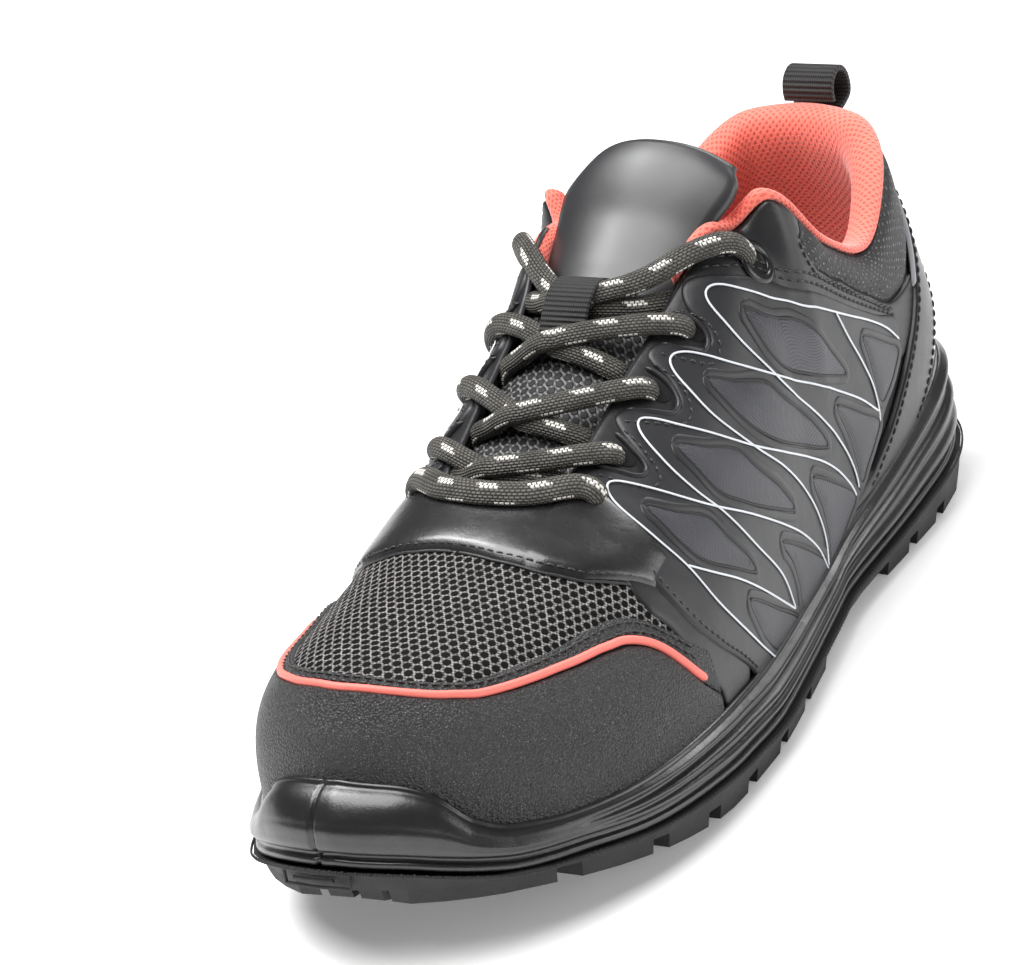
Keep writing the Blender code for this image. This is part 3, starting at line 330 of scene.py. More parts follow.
class Paint:
    """One finish: its nodes, and the last step that makes it a material."""

    def __init__(self, name):
        self.made = bpy.data.materials.new(name)
        self.made.use_nodes = True
        self.tree = self.made.node_tree
        self.shader = self.tree.nodes["Principled BSDF"]

    def put(self, socket, value):
        if isinstance(value, Wire):
            self.tree.links.new(value.socket, socket)
        elif isinstance(value, (tuple, list)) and socket.type == "RGBA":
            socket.default_value = (*value[:3], 1.0)
        else:
            socket.default_value = value

    def node(self, kind, settings, values, out=0):
        made = self.tree.nodes.new(kind)
        for key, value in settings.items():
            setattr(made, key, value)
        for key, value in values.items():
            self.put(made.inputs[key], value)
        return Wire(self, made.outputs[out])

    def mix(self, factor, a, b):
        """Colour a where factor is 0, colour b where it is 1."""
        return self.node("ShaderNodeMix", {"data_type": "RGBA"}, {0: factor, 6: a, 7: b}, 2)

    def flat(self):
        """Across and along a piece, in mm, as it was cut."""
        uv = self.node("ShaderNodeUVMap", {"uv_map": "cut"}, {})
        split = self.tree.nodes.new("ShaderNodeSeparateXYZ")
        self.tree.links.new(uv.socket, split.inputs[0])
        return Wire(self, split.outputs[0]), Wire(self, split.outputs[1])

    def noise(self, scale, detail=3.0):
        """Soft noise with this many spots to the metre."""
        where = self.node("ShaderNodeTexCoord", {}, {}, "Object")
        return self.node("ShaderNodeTexNoise", {}, {"Vector": where, "Scale": scale,
                                                    "Detail": detail, "Roughness": 0.5})

    def cells(self, scale):
        """Distance to the nearest of many scattered points."""
        where = self.node("ShaderNodeTexCoord", {}, {}, "Object")
        return self.node("ShaderNodeTexVoronoi", {"feature": "F1"},
                         {"Vector": where, "Scale": scale})

    def done(self, colour, rough, bump=None, depth=0.1, metallic=0.0, coat=0.0,
             sheen=0.0, specular=0.5):
        """colour, roughness and a bump of this depth in mm."""
        self.put(self.shader.inputs["Base Color"], colour)
        self.put(self.shader.inputs["Roughness"], rough)
        self.put(self.shader.inputs["Metallic"], metallic)
        self.put(self.shader.inputs["Coat Weight"], coat)
        self.shader.inputs["Coat Roughness"].default_value = 0.1
        self.shader.inputs["Sheen Weight"].default_value = sheen
        self.shader.inputs["Sheen Roughness"].default_value = 0.5
        self.shader.inputs["Specular IOR Level"].default_value = specular
        if bump is not None:
            raised = self.node("ShaderNodeBump", {}, {"Height": bump, "Distance": depth * MM,
                                                      "Strength": 1.0})
            self.put(self.shader.inputs["Normal"], raised)
        return self.made


def grid_faces(rows, columns, round_rows=False, round_columns=False):
    i, j = np.meshgrid(np.arange(rows if round_rows else rows - 1),
                       np.arange(columns if round_columns else columns - 1), indexing="ij")
    i, j = i.ravel(), j.ravel()
    k, m = (i + 1) % rows, (j + 1) % columns
    return np.stack([i * columns + j, k * columns + j, k * columns + m, i * columns + m], 1)


def make(name, points, faces, finish, cut=None, stands_for=(), slot=None, parts=None):
    """One object. finish is a material, or a list with parts as each face's number."""
    data = bpy.data.meshes.new(name)
    points = np.asarray(points, float).reshape(-1, 3)
    placed = (points - np.array([MIDDLE_X, 0, 0])) * MM
    data.from_pydata(placed.tolist(), [], [list(f) for f in np.asarray(faces).tolist()]
                     if isinstance(faces, np.ndarray) else faces)
    data.polygons.foreach_set("use_smooth", [True] * len(data.polygons))
    for one in finish if isinstance(finish, (list, tuple)) else [finish]:
        data.materials.append(one)
    if parts is not None:
        data.polygons.foreach_set("material_index", np.asarray(parts, int).tolist())
    if cut is not None:
        layer_made = data.uv_layers.new(name="cut")
        corner = np.zeros(len(data.loops), int)
        data.loops.foreach_get("vertex_index", corner)
        layer_made.data.foreach_set("uv", np.asarray(cut, float).reshape(-1, 2)[corner].ravel())
    data.update()
    made = bpy.data.objects.new(name, data)
    bpy.context.scene.collection.objects.link(made)
    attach(made, "root")
    if stands_for:
        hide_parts(*stands_for)
    return made


def cut_of(across, along):
    """A grid's places on the flat sheet, in mm, for its pattern."""
    return np.stack(np.broadcast_arrays(across, along), -1)


pu = Paint("midsole_pu")
soft = pu.noise(220.0, 3.0)
fine = pu.noise(1800.0, 2.0)
midsole_finish = pu.done((0.01, 0.01, 0.0105), 0.24 + soft * 0.12, soft * 0.5 + fine * 0.2,
                         0.22, specular=0.75)
ways = np.sort(np.concatenate([np.linspace(0, 2, 960, endpoint=False),
                               np.linspace(1.0051, 1.0109, 14)]))
share = share_of(ways)
sides = sole_at(share)
rim, split = sides[:, 2], sides[:, 3]
base, out = feather(ways)
reach = np.where(ways <= 1, sides[:, 0], sides[:, 1])
plan_out = np.stack([out[:, 1], -out[:, 0]], 1)
plan = np.stack([base[:, 1], HEEL_Y - base[:, 0]], 1)
at_rim = layer(ways, height_at_z(ways, rim - 0.6), np.full(len(ways), 0.1))
start = np.sum((at_rim[:, :2] - plan) * plan_out, 1)
low = split + 4.6
top = rim - 1.2
# from the ball back the side carries a second and a third roll
rolls = np.clip((0.86 - share) / 0.12, 0, 1) * np.clip(share / 0.05, 0.5, 1)
# share of the drop, share of the way out, mm out at the toe, more mm out along the side
SIDE = [(0.0, 0.0, 0.0, 0.0), (0.05, 0.22, 0.15, 0.5), (0.13, 0.42, 0.35, 1.2),
        (0.22, 0.58, 0.4, 0.4), (0.32, 0.74, 0.2, -1.0), (0.42, 0.86, 0.1, -0.9),
        (0.5, 0.92, 0.1, 0.6), (0.58, 0.97, 0.2, 0.9), (0.66, 1.0, 0.2, -0.3),
        (0.74, 1.0, 0.3, -0.6), (0.84, 1.0, 0.4, 0.5), (0.93, 1.0, 0.2, 0.6),
        (1.0, 1.0, -0.3, -0.3)]
levels = [(np.full(len(ways), -1.5) + start, rim - 5), (start - 0.2, rim - 0.9),
          (start + 0.5, rim - 0.2), (start + 1.4, rim), (start + 2.2, rim - 0.35)]
for drop, way_out, toe, more in SIDE:
    distance = (start + 2.7) * (1 - way_out) + np.maximum(reach, start + 2.9) * way_out
    levels.append((distance + toe + more * rolls, top * (1 - drop) + low * drop))
for inward, above in ((1.0, 4.2), (1.7, 3.8), (1.8, 3.1), (1.5, 2.5), (0.7, 2.2), (0.35, 1.6),
                      (0.4, 0.4), (1.2, 0.1)):
    levels.append((reach - inward, split + above))
distance = np.array([level[0] for level in levels])
height = np.array([level[1] for level in levels])
fine_levels = np.linspace(0, len(levels) - 1, 84)
k = np.clip(fine_levels.astype(int), 0, len(levels) - 2)
f = (fine_levels - k)[:, None]
before, after = np.clip(k - 1, 0, None), np.clip(k + 2, None, len(levels) - 1)


def rounded(values):
    a, b, c, d = values[before], values[k], values[k + 1], values[after]
    return 0.5 * (2 * b + (c - a) * f + (2 * a - 5 * b + 4 * c - d) * f ** 2
                  + (3 * b - a - 3 * c + d) * f ** 3)


distance, height = rounded(distance), rounded(height)
# the mould's two halves meet in a fine line down the middle of the bumper
seam = np.exp(-((ways - 1.008) / 0.0011) ** 2)
seam = seam * np.clip((fine_levels[:, None] - 3) / 2, 0, 1)
distance = distance - 0.9 * seam
xy = plan[None] + plan_out[None] * distance[..., None]
points = np.concatenate([xy, height[..., None]], 2).transpose(1, 0, 2)
run = np.arange(len(ways)) * 0.8
cut = cut_of(run[:, None], fine_levels[None] * 1.0)
make("midsole_shell", points, grid_faces(len(ways), len(fine_levels), round_rows=True),
     midsole_finish, cut=cut, stands_for=("midsole",), slot="midsole_pu")

# ---- Outsole
# Matte black rubber with square lugs under it and a row of small moulded bumps along the
# line where it meets the midsole.


def run_of(points):
    """How far each point lies along its line."""
    return np.concatenate([[0], np.cumsum(np.linalg.norm(np.diff(points, axis=0), axis=1))])


def even(points, step, closed=False):
    """The same line with its points about step apart."""
    points = np.asarray(points, float)
    if closed:
        points = np.vstack([points, points[:1]])
    run = run_of(points)
    count = max(3, int(run[-1] / step))
    at = np.linspace(0, run[-1], count, endpoint=not closed)
    return np.stack([np.interp(at, run, points[:, k]) for k in range(points.shape[1])], 1)


# mm for one step of way and of height, near enough to lay patterns out by
AROUND = 345.0


def sweep(spot, out, ahead, shape):
    """Points of a bar: shape is across and up, one pair for each corner."""
    side = np.cross(ahead, out)
    side = unit(side)
    rise = np.cross(side, ahead)
    shape = np.asarray(shape, float)
    if shape.ndim == 2:
        shape = np.repeat(shape[None], len(spot), axis=0)
    return (spot[:, None, :] + side[:, None, :] * shape[:, :, :1]
            + rise[:, None, :] * shape[:, :, 1:])


def cord_along(name, path, up, wide, high, finish, sides=20, **more):
    """An oval cord through points in space; its cut is round and along in mm."""
    path = np.asarray(path, float)
    ahead = np.gradient(path, axis=0)
    ahead = unit(ahead)
    turn = np.linspace(0, 2 * np.pi, sides, endpoint=False)
    wide = np.broadcast_to(wide, len(path))
    high = np.broadcast_to(high, len(path))
    shape = np.stack([np.cos(turn)[None] * wide[:, None], np.sin(turn)[None] * high[:, None]], -1)
    points = sweep(path, np.asarray(up, float), ahead, shape)
    first, last = path[:1] - ahead[:1] * 0.3, path[-1:] + ahead[-1:] * 0.3
    run = run_of(path)
    n = len(path)
    # the seam is doubled, so the pattern closes underneath
    points = np.concatenate([points, points[:, :1]], axis=1)
    turn = np.append(turn, 2 * np.pi)
    cut = cut_of(turn[None, :] / (2 * np.pi), run[:, None])
    faces = grid_faces(n, sides + 1).tolist()
    verts = np.vstack([points.reshape(-1, 3), first, last])
    cut = np.vstack([cut.reshape(-1, 2), [[0, 0]], [[0, run[-1]]]])
    base = n * (sides + 1)
    for j in range(sides):
        faces.append([base, j + 1, j])
        faces.append([base + 1, (n - 1) * (sides + 1) + j, (n - 1) * (sides + 1) + j + 1])
    return make(name, verts, faces, finish, cut=cut, **more)


rubber = Paint("outsole_rubber")
grit = rubber.noise(2600.0, 2.0)
cloud = rubber.noise(90.0, 2.0)
rubber_finish = rubber.done((0.013, 0.013, 0.0135), 0.55 + cloud * 0.25, grit, 0.12)
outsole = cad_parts["outsole"]
outsole.data.materials.clear()
outsole.data.materials.append(rubber_finish)
round_off = outsole.modifiers.new("rounded", "BEVEL")
round_off.width = 0.0007
round_off.segments = 2
round_off.limit_method = "ANGLE"
round_off.angle_limit = math.radians(38)
outsole.data.polygons.foreach_set("use_smooth", [True] * len(outsole.data.polygons))
soften = outsole.modifiers.new("weighted", "WEIGHTED_NORMAL")
soften.keep_sharp = False
bump_ways = even(np.stack([plan[:, 0] + plan_out[:, 0] * reach,
                           plan[:, 1] + plan_out[:, 1] * reach, ways * 1000], 1), 1.5)[:, 2] / 1000
share_b = share_of(bump_ways)
base_b, out_b = feather(bump_ways)
sides_b = sole_at(share_b)
reach_b = np.where(bump_ways <= 1, sides_b[:, 0], sides_b[:, 1]) + 1.1
BUMP_SIDES = 6
verts, faces = [], []
for n, (b, o, r, z) in enumerate(zip(base_b, out_b, reach_b, sides_b[:, 3])):
    centre = np.array([b[1] + o[1] * r, HEEL_Y - b[0] - o[0] * r, z - 0.55])
    outside = np.array([o[1], -o[0], 0])
    aside = np.array([o[0], o[1], 0])
    tall = 0.5 + 0.28 * math.sin(n * 2.4) * math.sin(n * 0.71)
    ring = [centre + aside * 0.62 * math.cos(t) + np.array([0, 0, tall]) * math.sin(t)
            for t in np.linspace(0, 2 * np.pi, BUMP_SIDES, endpoint=False)]
    count = len(verts) * (2 * BUMP_SIDES + 1)
    cap = [p + outside * 0.42 - (p - centre) * 0.35 for p in ring]
    verts.append(np.array(ring + cap + [centre + outside * 0.6]))
    cap_at = count + BUMP_SIDES
    for j in range(BUMP_SIDES):
        m = (j + 1) % BUMP_SIDES
        faces.append([count + j, count + m, cap_at + m, cap_at + j])
        faces.append([cap_at + j, cap_at + m, cap_at + BUMP_SIDES])
make("outsole_edge_bumps", np.vstack(verts), faces, rubber_finish, slot="outsole_rubber")


def on_edge(way, drop):
    """Points on the outsole's side wall, drop mm below the midsole, and the way out."""
    spot = [np.interp(way, ways, plan[:, k] + plan_out[:, k] * (reach + 1.1)) for k in (0, 1)]
    out = [np.interp(way, ways, plan_out[:, k]) for k in (0, 1)]
    return (np.stack(spot + [np.interp(way, ways, split) - drop], 1),
            np.stack(out + [0 * np.asarray(way)], 1))


# a small moulded frame with a bar in it, at the toe
FRAME = [(0.995, 0.9), (1.027, 0.9), (1.027, 5.2), (0.995, 5.2), (0.995, 0.9)]
for name, corners in (("frame", FRAME), ("bar", [(1.001, 3.1), (1.021, 3.1)])):
    line = np.array(corners)
    line = even(line * np.array([AROUND, 1.0]), 0.5) / np.array([AROUND, 1.0])
    path, up = on_edge(line[:, 0], line[:, 1])
    cord_along("outsole_toe_" + name, path, up, 0.45, 0.5, rubber_finish, sides=8,
               slot="outsole_rubber")

# ---- Wall of the upper and its lining
# One hollow wall of cloth. Black outside under the overlays, dark inside the vamp, and
# orange knit inside the heel; it is open at the collar and the throat.
WALL = 2.4
THROAT_END = 0.665
# half width of the throat: share, part of HALF_WIDTH
THROAT = [
    (0.355, 0.62), (0.367, 0.565), (0.372, 0.533), (0.38, 0.507), (0.388, 0.5), (0.405, 0.5),
    (0.43, 0.472), (0.46, 0.426), (0.48, 0.407), (0.56, 0.37), (0.635, 0.343), (0.665, 0.333),
]


def table(rows, at, column=1):
    data = np.array(rows, float)
    return np.interp(at, data[:, 0], data[:, column])


def height_across(share, side, across):
    """Height where the section is so many mm across from its middle."""
    share = np.ravel(np.asarray(share, float))
    across = np.ravel(np.asarray(across, float)) + 0 * share
    tries = np.linspace(0.3, 1.0, 141)
    way = share if side > 0 else 2 - share
    spot = skin(way[:, None] + 0 * tries, tries[None, :] + 0 * way[:, None])[..., 0]
    middle = table(SECTIONS, share, 8) * HALF_WIDTH
    x = (spot - middle[:, None]) * side
    return np.array([np.interp(-a, -b, tries) for a, b in zip(across, x)])


def edge_height(way):
    """Height of the collar's and the throat's edge."""
    way = np.ravel(np.asarray(way, float))
    share = share_of(way)
    half = table(THROAT, share) * HALF_WIDTH
    lateral = np.mod(way, 2.0) <= 1
    found = np.where(lateral, height_across(share, 1, half), height_across(share, -1, half))
    return np.where(share <= THROAT[0][0], 1.0, found)


def holes(across, along, pitch, step, bore):
    """Rows of round holes set half a pitch apart: 1 on the thread, 0 in a hole, and the
    distance from the nearest hole's middle in mm."""
    away = None
    for shift in (0.0, 0.5):
        u = ((across / pitch + shift).fraction() - 0.5) * pitch
        v = ((along / step + shift).fraction() - 0.5) * step
        reach = (u * u + v * v).root()
        away = reach if away is None else away.least(reach)
    return away.ease(bore - 0.22, bore + 0.1), away


UPWARD = 85.0
plain = Paint("wall_black")
wall_finish = plain.done((0.012, 0.012, 0.013), 0.8, plain.noise(1500.0), 0.15)
orange = Paint("collar_orange")
u, v = orange.flat()
knit, away = holes(u, v, 2.3, 2.1, 0.5)
weave = orange.noise(1400.0, 2.0)
pile = orange.noise(60.0, 2.0)
# The knit's pits are painted a deeper orange than its threads: painted shade in the pits.
orange_colour = orange.mix(knit, (0.72, 0.07, 0.045), (1.0, 0.17, 0.12))
orange_colour = orange.mix(pile * 0.4, orange_colour, (1.0, 0.28, 0.2))
orange_finish = orange.done(orange_colour, 0.8, knit * 0.7 + weave * 0.25 - away * 0.1, 0.4,
                            sheen=0.4)
inside = Paint("lining_dark")
inside_finish = inside.done((0.02, 0.02, 0.022), 0.9, inside.noise(1500.0), 0.15)
half = np.concatenate([np.linspace(0, 0.33, 90, endpoint=False),
                       np.linspace(0.33, 0.4, 40, endpoint=False),
                       np.linspace(0.4, 1.0, 110)])
ways = np.concatenate([half, 2 - half[::-1][1:-1]])
edge = edge_height(ways)
end = [float(height_across(THROAT_END, side, table(THROAT, THROAT_END) * HALF_WIDTH)[0])
       for side in (1, -1)]
edge = np.where(share_of(ways) > THROAT_END, np.where(ways <= 1, end[0], end[1]), edge)
# rows of points on each face of the wall
WALL_ROWS = 31
steps = np.linspace(0, 1, WALL_ROWS)
grid = ways[:, None] + 0 * steps
up = edge[:, None] * steps
outer = layer(grid, up, np.full(grid.shape, 0.0))
inner_face = layer(grid, up, np.full(grid.shape, -WALL))[:, ::-1]
inner_face[:, -1, 2] = outer[:, 0, 2]
points = np.concatenate([outer, inner_face], 1)
faces = grid_faces(len(ways), points.shape[1], round_rows=True)
column = faces[:, 0] % points.shape[1]
heel_part = share_of(ways)[faces[:, 0] // points.shape[1]] < 0.4
parts = np.where(column < WALL_ROWS, 0, np.where(heel_part, 2, 1))
run = run_of(outer[:, WALL_ROWS // 2])
rise = np.concatenate([up * UPWARD, (up * UPWARD)[:, ::-1]], 1)
cut = cut_of(run[:, None], rise)
make("upper_wall", points, faces, [wall_finish, inside_finish, orange_finish], cut=cut,
     stands_for=("upper",), slot="upper_mesh", parts=parts)
fore = np.linspace(THROAT_END, 2 - THROAT_END, 160)
low_edge = np.where(fore <= 1, end[0], end[1]) - 0.02
steps = np.linspace(0, 1, 24)
grid = fore[:, None] + 0 * steps
up = low_edge[:, None] * (1 - steps) + steps
points = layer(grid, up, np.full(grid.shape, -0.05))
points[:, -1] = 0.5 * (points[:, -1] + points[::-1, -1])
make("upper_vamp_lining", points, grid_faces(len(fore), len(steps)), wall_finish,
     slot="upper_mesh")

# ---- Air mesh on the vamp and round the collar
# Open knit: round holes in staggered rows with grey threads between them. The vamp piece
# is cut as one, with its two halves joined along the ridge over the foot.

# top line of the toe cap: way, height
CAP_TOP = [(0.65, 0.06), (0.674, 0.13), (0.691, 0.21), (0.706, 0.285), (0.72, 0.335),
           (0.735, 0.37), (0.76, 0.4), (0.80, 0.43), (0.846, 0.45), (0.89, 0.47),
           (0.927, 0.51), (0.954, 0.55), (0.988, 0.585), (1.022, 0.585), (1.06, 0.555),
           (1.10, 0.51), (1.154, 0.465), (1.20, 0.44), (1.24, 0.41), (1.265, 0.37),
           (1.285, 0.31), (1.305, 0.22), (1.325, 0.13), (1.345, 0.06)]


def edge_gap(spots, line):
    """Distance of each spot from a closed line."""
    a = line
    b = np.roll(line, -1, axis=0)
    best = np.full(len(spots), 1e9)
    for start in range(0, len(spots), 4000):
        p = spots[start:start + 4000, None, :]
        t = np.clip(((p - a) * (b - a)).sum(-1) / np.maximum(((b - a) ** 2).sum(-1), 1e-9), 0, 1)
        near = a + (b - a) * t[..., None]
        best[start:start + 4000] = np.sqrt(((p - near) ** 2).sum(-1)).min(1)
    return best


def within(spots, line):
    """Whether each spot lies inside a closed line."""
    a = line
    b = np.roll(line, -1, axis=0)
    x, y = spots[:, :1], spots[:, 1:]
    cross = ((a[:, 1] > y) != (b[:, 1] > y))
    with np.errstate(divide="ignore", invalid="ignore"):
        at = (b[:, 0] - a[:, 0]) * (y - a[:, 1]) / (b[:, 1] - a[:, 1]) + a[:, 0]
    return (cross & (x < at)).sum(1) % 2 == 1


def sheet(name, line, lift, finish, edge=1.0, sink=-0.1, step=1.8, dome=0.0, dome_edge=6.0,
          **more):
    """A sheet cut to a closed line of way and height, its edge rolled down over edge mm."""
    line = np.asarray(line, float)
    scale = np.array([AROUND, UPWARD])
    line = even(line * scale, min(step * 0.6, 1.0), closed=True)
    ahead = np.roll(line, -1, axis=0)
    if np.sum(line[:, 0] * ahead[:, 1] - ahead[:, 0] * line[:, 1]) < 0:
        line = line[::-1]
    ahead = np.roll(line, -1, axis=0) - np.roll(line, 1, axis=0)
    ahead = ahead / np.maximum(np.linalg.norm(ahead, axis=1), 1e-9)[:, None]
    inward = np.stack([-ahead[:, 1], ahead[:, 0]], 1)
    spots = [line]
    for share in (0.15, 0.45, 1.0):
        ring = line + inward * edge * share
        gap = edge_gap(ring, line)
        keep = within(ring, line) & (gap > edge * share * 0.85)
        spots.append(ring[keep])
    low, high = line.min(0), line.max(0)
    rows = np.arange(low[1], high[1], step * 0.87)
    for k, y in enumerate(rows):
        xs = np.arange(low[0] + (k % 2) * step / 2, high[0], step)
        row = np.stack([xs, np.full(len(xs), y)], 1)
        if len(row):
            keep = within(row, line)
            row = row[keep]
            if len(row):
                spots.append(row[edge_gap(row, line) > edge + step * 0.4])
    flat = np.vstack(spots)
    n = len(line)
    edges = [(k, (k + 1) % n) for k in range(n)]
    verts, _, faces, _, _, _ = delaunay_2d_cdt([Vector(p) for p in flat.tolist()], edges, [], 1,
                                               1e-5)
    flat = np.array([tuple(v) for v in verts])
    gap = edge_gap(flat, line)
    f = np.clip(gap / edge, 0, 1)
    raised = sink + (lift - sink) * np.sqrt(1 - (1 - f) ** 2)
    f = np.clip((gap - edge) / dome_edge, 0, 1)
    raised = raised + dome * np.sqrt(1 - (1 - f) ** 2)
    points = layer(flat[:, 0] / AROUND, flat[:, 1] / UPWARD, raised)
    return make(name, points, [list(f) for f in faces], finish, cut=flat, **more)


def inner(path):
    """The same line on the inner side of the shoe."""
    return [(2 - way, height) for way, height in path]


def lay_flat(made, grain):
    """Unwrap a piece and scale the result to mm; grain is turned to run along it."""
    bpy.context.view_layer.objects.active = made
    made.select_set(True)
    bpy.ops.object.mode_set(mode="EDIT")
    bpy.ops.mesh.select_all(action="SELECT")
    bpy.ops.uv.unwrap(method="ANGLE_BASED", margin=0.0)
    bpy.ops.object.mode_set(mode="OBJECT")
    made.select_set(False)
    data = made.data
    flat = np.zeros(len(data.loops) * 2)
    data.uv_layers["cut"].data.foreach_get("uv", flat)
    flat = flat.reshape(-1, 2)
    corner = np.zeros(len(data.loops), int)
    data.loops.foreach_get("vertex_index", corner)
    place = np.zeros(len(data.vertices) * 3)
    data.vertices.foreach_get("co", place)
    place = place.reshape(-1, 3)[corner] / MM
    step = np.roll(flat, -1, axis=0) - flat
    true = np.roll(place, -1, axis=0) - place
    start = np.array([p.loop_start for p in data.polygons])
    ratio = np.linalg.norm(true[start], axis=1).sum() / np.linalg.norm(step[start], axis=1).sum()
    flat = (flat - flat.mean(0)) * ratio
    goal = place @ np.asarray(grain, float)
    goal = goal - goal.mean()
    slope = np.linalg.lstsq(flat, goal, rcond=None)[0]
    slope = slope / np.linalg.norm(slope)
    turned = np.stack([flat @ np.array([slope[1], -slope[0]]), flat @ slope], 1)
    data.uv_layers["cut"].data.foreach_set("uv", turned.ravel())


airmesh = Paint("air_mesh")
u, v = airmesh.flat()
thread, away = holes(u, v, 2.85, 4.6, 1.08)
twist = ((u * 4.1 + v * 2.0).sine() * (v * 5.2 - u * 1.7).sine()) * 0.5 + 0.5
shade = airmesh.noise(420.0, 3.0)
# The holes are painted near-black: the dark cloth under the mesh, deepened by painted shade in the
# open holes.
mesh_colour = airmesh.mix(thread, (0.001, 0.001, 0.001),
                          airmesh.mix(twist * shade * 1.8, (0.02, 0.019, 0.019),
                                      (0.36, 0.34, 0.33)))
mesh_finish = airmesh.done(mesh_colour, 0.7, thread + twist * thread * 0.22, 0.9,
                           specular=0.12)
fore = np.linspace(0.655, 1.345, 300)
cap = table(CAP_TOP, fore) + 0.02
low_edge = np.where(share_of(fore) < 0.69, np.maximum(cap, 0.2), cap)
MESH_ROWS = 44
steps = np.linspace(0, 1, MESH_ROWS)
grid = fore[:, None] + 0 * steps
up = low_edge[:, None] * (1 - steps) + steps
points = layer(grid, up, np.full(grid.shape, 0.35))
points[:, -1] = 0.5 * (points[:, -1] + points[::-1, -1])
n = len(fore)
faces = grid_faces(n, MESH_ROWS)
# the ridge column is shared by the two halves
index = np.arange(n * MESH_ROWS).reshape(n, MESH_ROWS)
index[n // 2:, -1] = index[:n - n // 2, -1][::-1]
faces = index.ravel()[faces]
faces = [list(dict.fromkeys(f)) for f in faces.tolist()]
faces = [f for f in faces if len(f) > 2]
vamp = make("vamp_mesh", points, faces, mesh_finish, cut=points.reshape(-1, 3)[:, :2],
            slot="upper_mesh")
lay_flat(vamp, (0, 1, 0))

# way and height of the line where the collar's mesh meets the smooth eyestay
COLLAR_LINE = [(0.03, 0.9), (0.08, 0.78), (0.12, 0.66), (0.16, 0.61), (0.2, 0.69),
               (0.235, 0.79), (0.286, 0.84), (0.325, 0.79), (0.339, 0.82), (0.328, 0.95)]
dots = Paint("collar_mesh")
u, v = dots.flat()
thread, away = holes(u, v, 2.9, 3.4, 0.6)
speck = dots.noise(900.0, 1.0)
fleck = (1.0 - thread) * (speck * 2.2 - 0.75).most(0.0)
# The holes are painted darker than the threads: painted shade in the open holes.
dot_colour = dots.mix(fleck * 0.55, dots.mix(thread, (0.003, 0.003, 0.003), (0.022, 0.022, 0.024)),
                      (0.5, 0.5, 0.52))
dots_finish = dots.done(dot_colour, 0.6, thread * 0.8 + dots.noise(1500.0) * 0.3, 0.7)
for side in ("lateral", "medial"):
    line = [(0.0, 0.93)] + COLLAR_LINE + [(0.326, 0.985), (0.25, 0.985), (0.15, 0.985),
                                          (0.08, 0.985), (0.0, 0.985)]
    line = line if side == "lateral" else inner(line)
    sheet("collar_mesh_" + side, line, 0.5, dots_finish, edge=1.5, sink=0.1, dome=1.7,
          dome_edge=8.0, slot="upper_mesh")

# ---- Toe cap cover, band and piping
# Grained leather over the protective toe, with a coral cord along its top line and a
# narrow band above it sewn down with two rows of stitches.


def rim_height(way, above):
    """Height just above the midsole's rim."""
    return height_at_z(way, sole_at(share_of(way))[:, 2] + above)


def through(points, count, closed=False):
    """A smooth line through points."""
    points = np.asarray(points, float)
    n = len(points)
    if closed:
        padded = np.vstack([points[-1], points, points[0], points[1]])
        spans = n
    else:
        padded = np.vstack([2 * points[0] - points[1], points, 2 * points[-1] - points[-2]])
        spans = n - 1
    t = np.linspace(0, spans, count, endpoint=not closed)
    k = np.clip(t.astype(int), 0, spans - 1)
    f = (t - k)[:, None]
    a, b, c, d = padded[k], padded[k + 1], padded[k + 2], padded[k + 3]
    return 0.5 * (2 * b + (c - a) * f + (2 * a - 5 * b + 4 * c - d) * f ** 2
                  + (3 * b - a - 3 * c + d) * f ** 3)


def line_on(path, lift, step=0.7):
    """Points, outward directions and the way ahead along a line of way and height."""
    path = through(path, len(path) * 24)
    spot = layer(path[:, 0], path[:, 1], np.full(len(path), 0.0))
    run = run_of(spot)
    at = np.linspace(0, run[-1], max(4, int(run[-1] / step)))
    way = np.interp(at, run, path[:, 0])
    height = np.interp(at, run, path[:, 1])
    out = outward(way, height)
    spot = skin(way, height) + out * np.asarray(lift)
    ahead = np.gradient(spot, axis=0)
    ahead = unit(ahead)
    return spot, out, ahead, at


def bead(name, path, wide, high, lift, finish, sides=10, **more):
    """A raised line: half an oval, wide mm across and high mm up."""
    spot, out, ahead, at = line_on(path, lift)
    turn = np.linspace(0, np.pi, sides)
    taper = np.clip(np.minimum(at, at[-1] - at) / (wide * 0.8), 0.05, 1) ** 0.5
    shape = np.stack([np.cos(turn) * wide / 2, np.sin(turn) * high], 1)
    shape = shape[None] * taper[:, None, None]
    points = sweep(spot, out, ahead, shape)
    cut = cut_of(turn[None, :] * wide / 2, at[:, None])
    return make(name, points, grid_faces(len(spot), sides), finish, cut=cut, **more)


# half the thickness of the sewing thread, mm
THREAD = 0.34


def stitches(name, paths, lift, finish, pitch=3.2, long=2.3, **more):
    """Rows of stitches along lines of way and height, sunk a little at their ends."""
    verts, faces = [], []
    turn = np.linspace(0, 2 * np.pi, 6, endpoint=False)
    along = np.array([-0.5, -0.36, 0.0, 0.36, 0.5])
    fat = np.array([0.35, 0.9, 1.0, 0.9, 0.35])
    drop = np.array([-0.35, -0.05, 0.08, -0.05, -0.35])
    for path in paths:
        spot, out, ahead, at = line_on(path, lift, 0.4)
        for centre in np.arange(pitch / 2, at[-1], pitch):
            rings = []
            for a, b, c in zip(along, fat, drop):
                where = np.clip(centre + a * long, 0, at[-1])
                p = np.array([np.interp(where, at, spot[:, k]) for k in range(3)])
                k = int(np.clip(np.searchsorted(at, where), 0, len(at) - 1))
                side = np.cross(ahead[k], out[k])
                side = side / np.linalg.norm(side)
                p = p + out[k] * c
                rings.append(p + THREAD * b * 1.2 * np.cos(turn)[:, None] * side
                             + THREAD * b * np.sin(turn)[:, None] * out[k])
            base = len(verts) * 30
            verts.append(np.array(rings).reshape(-1, 3))
            faces.append(grid_faces(5, 6, round_columns=True) + base)
    return make(name, np.vstack(verts), np.vstack(faces), finish, **more)


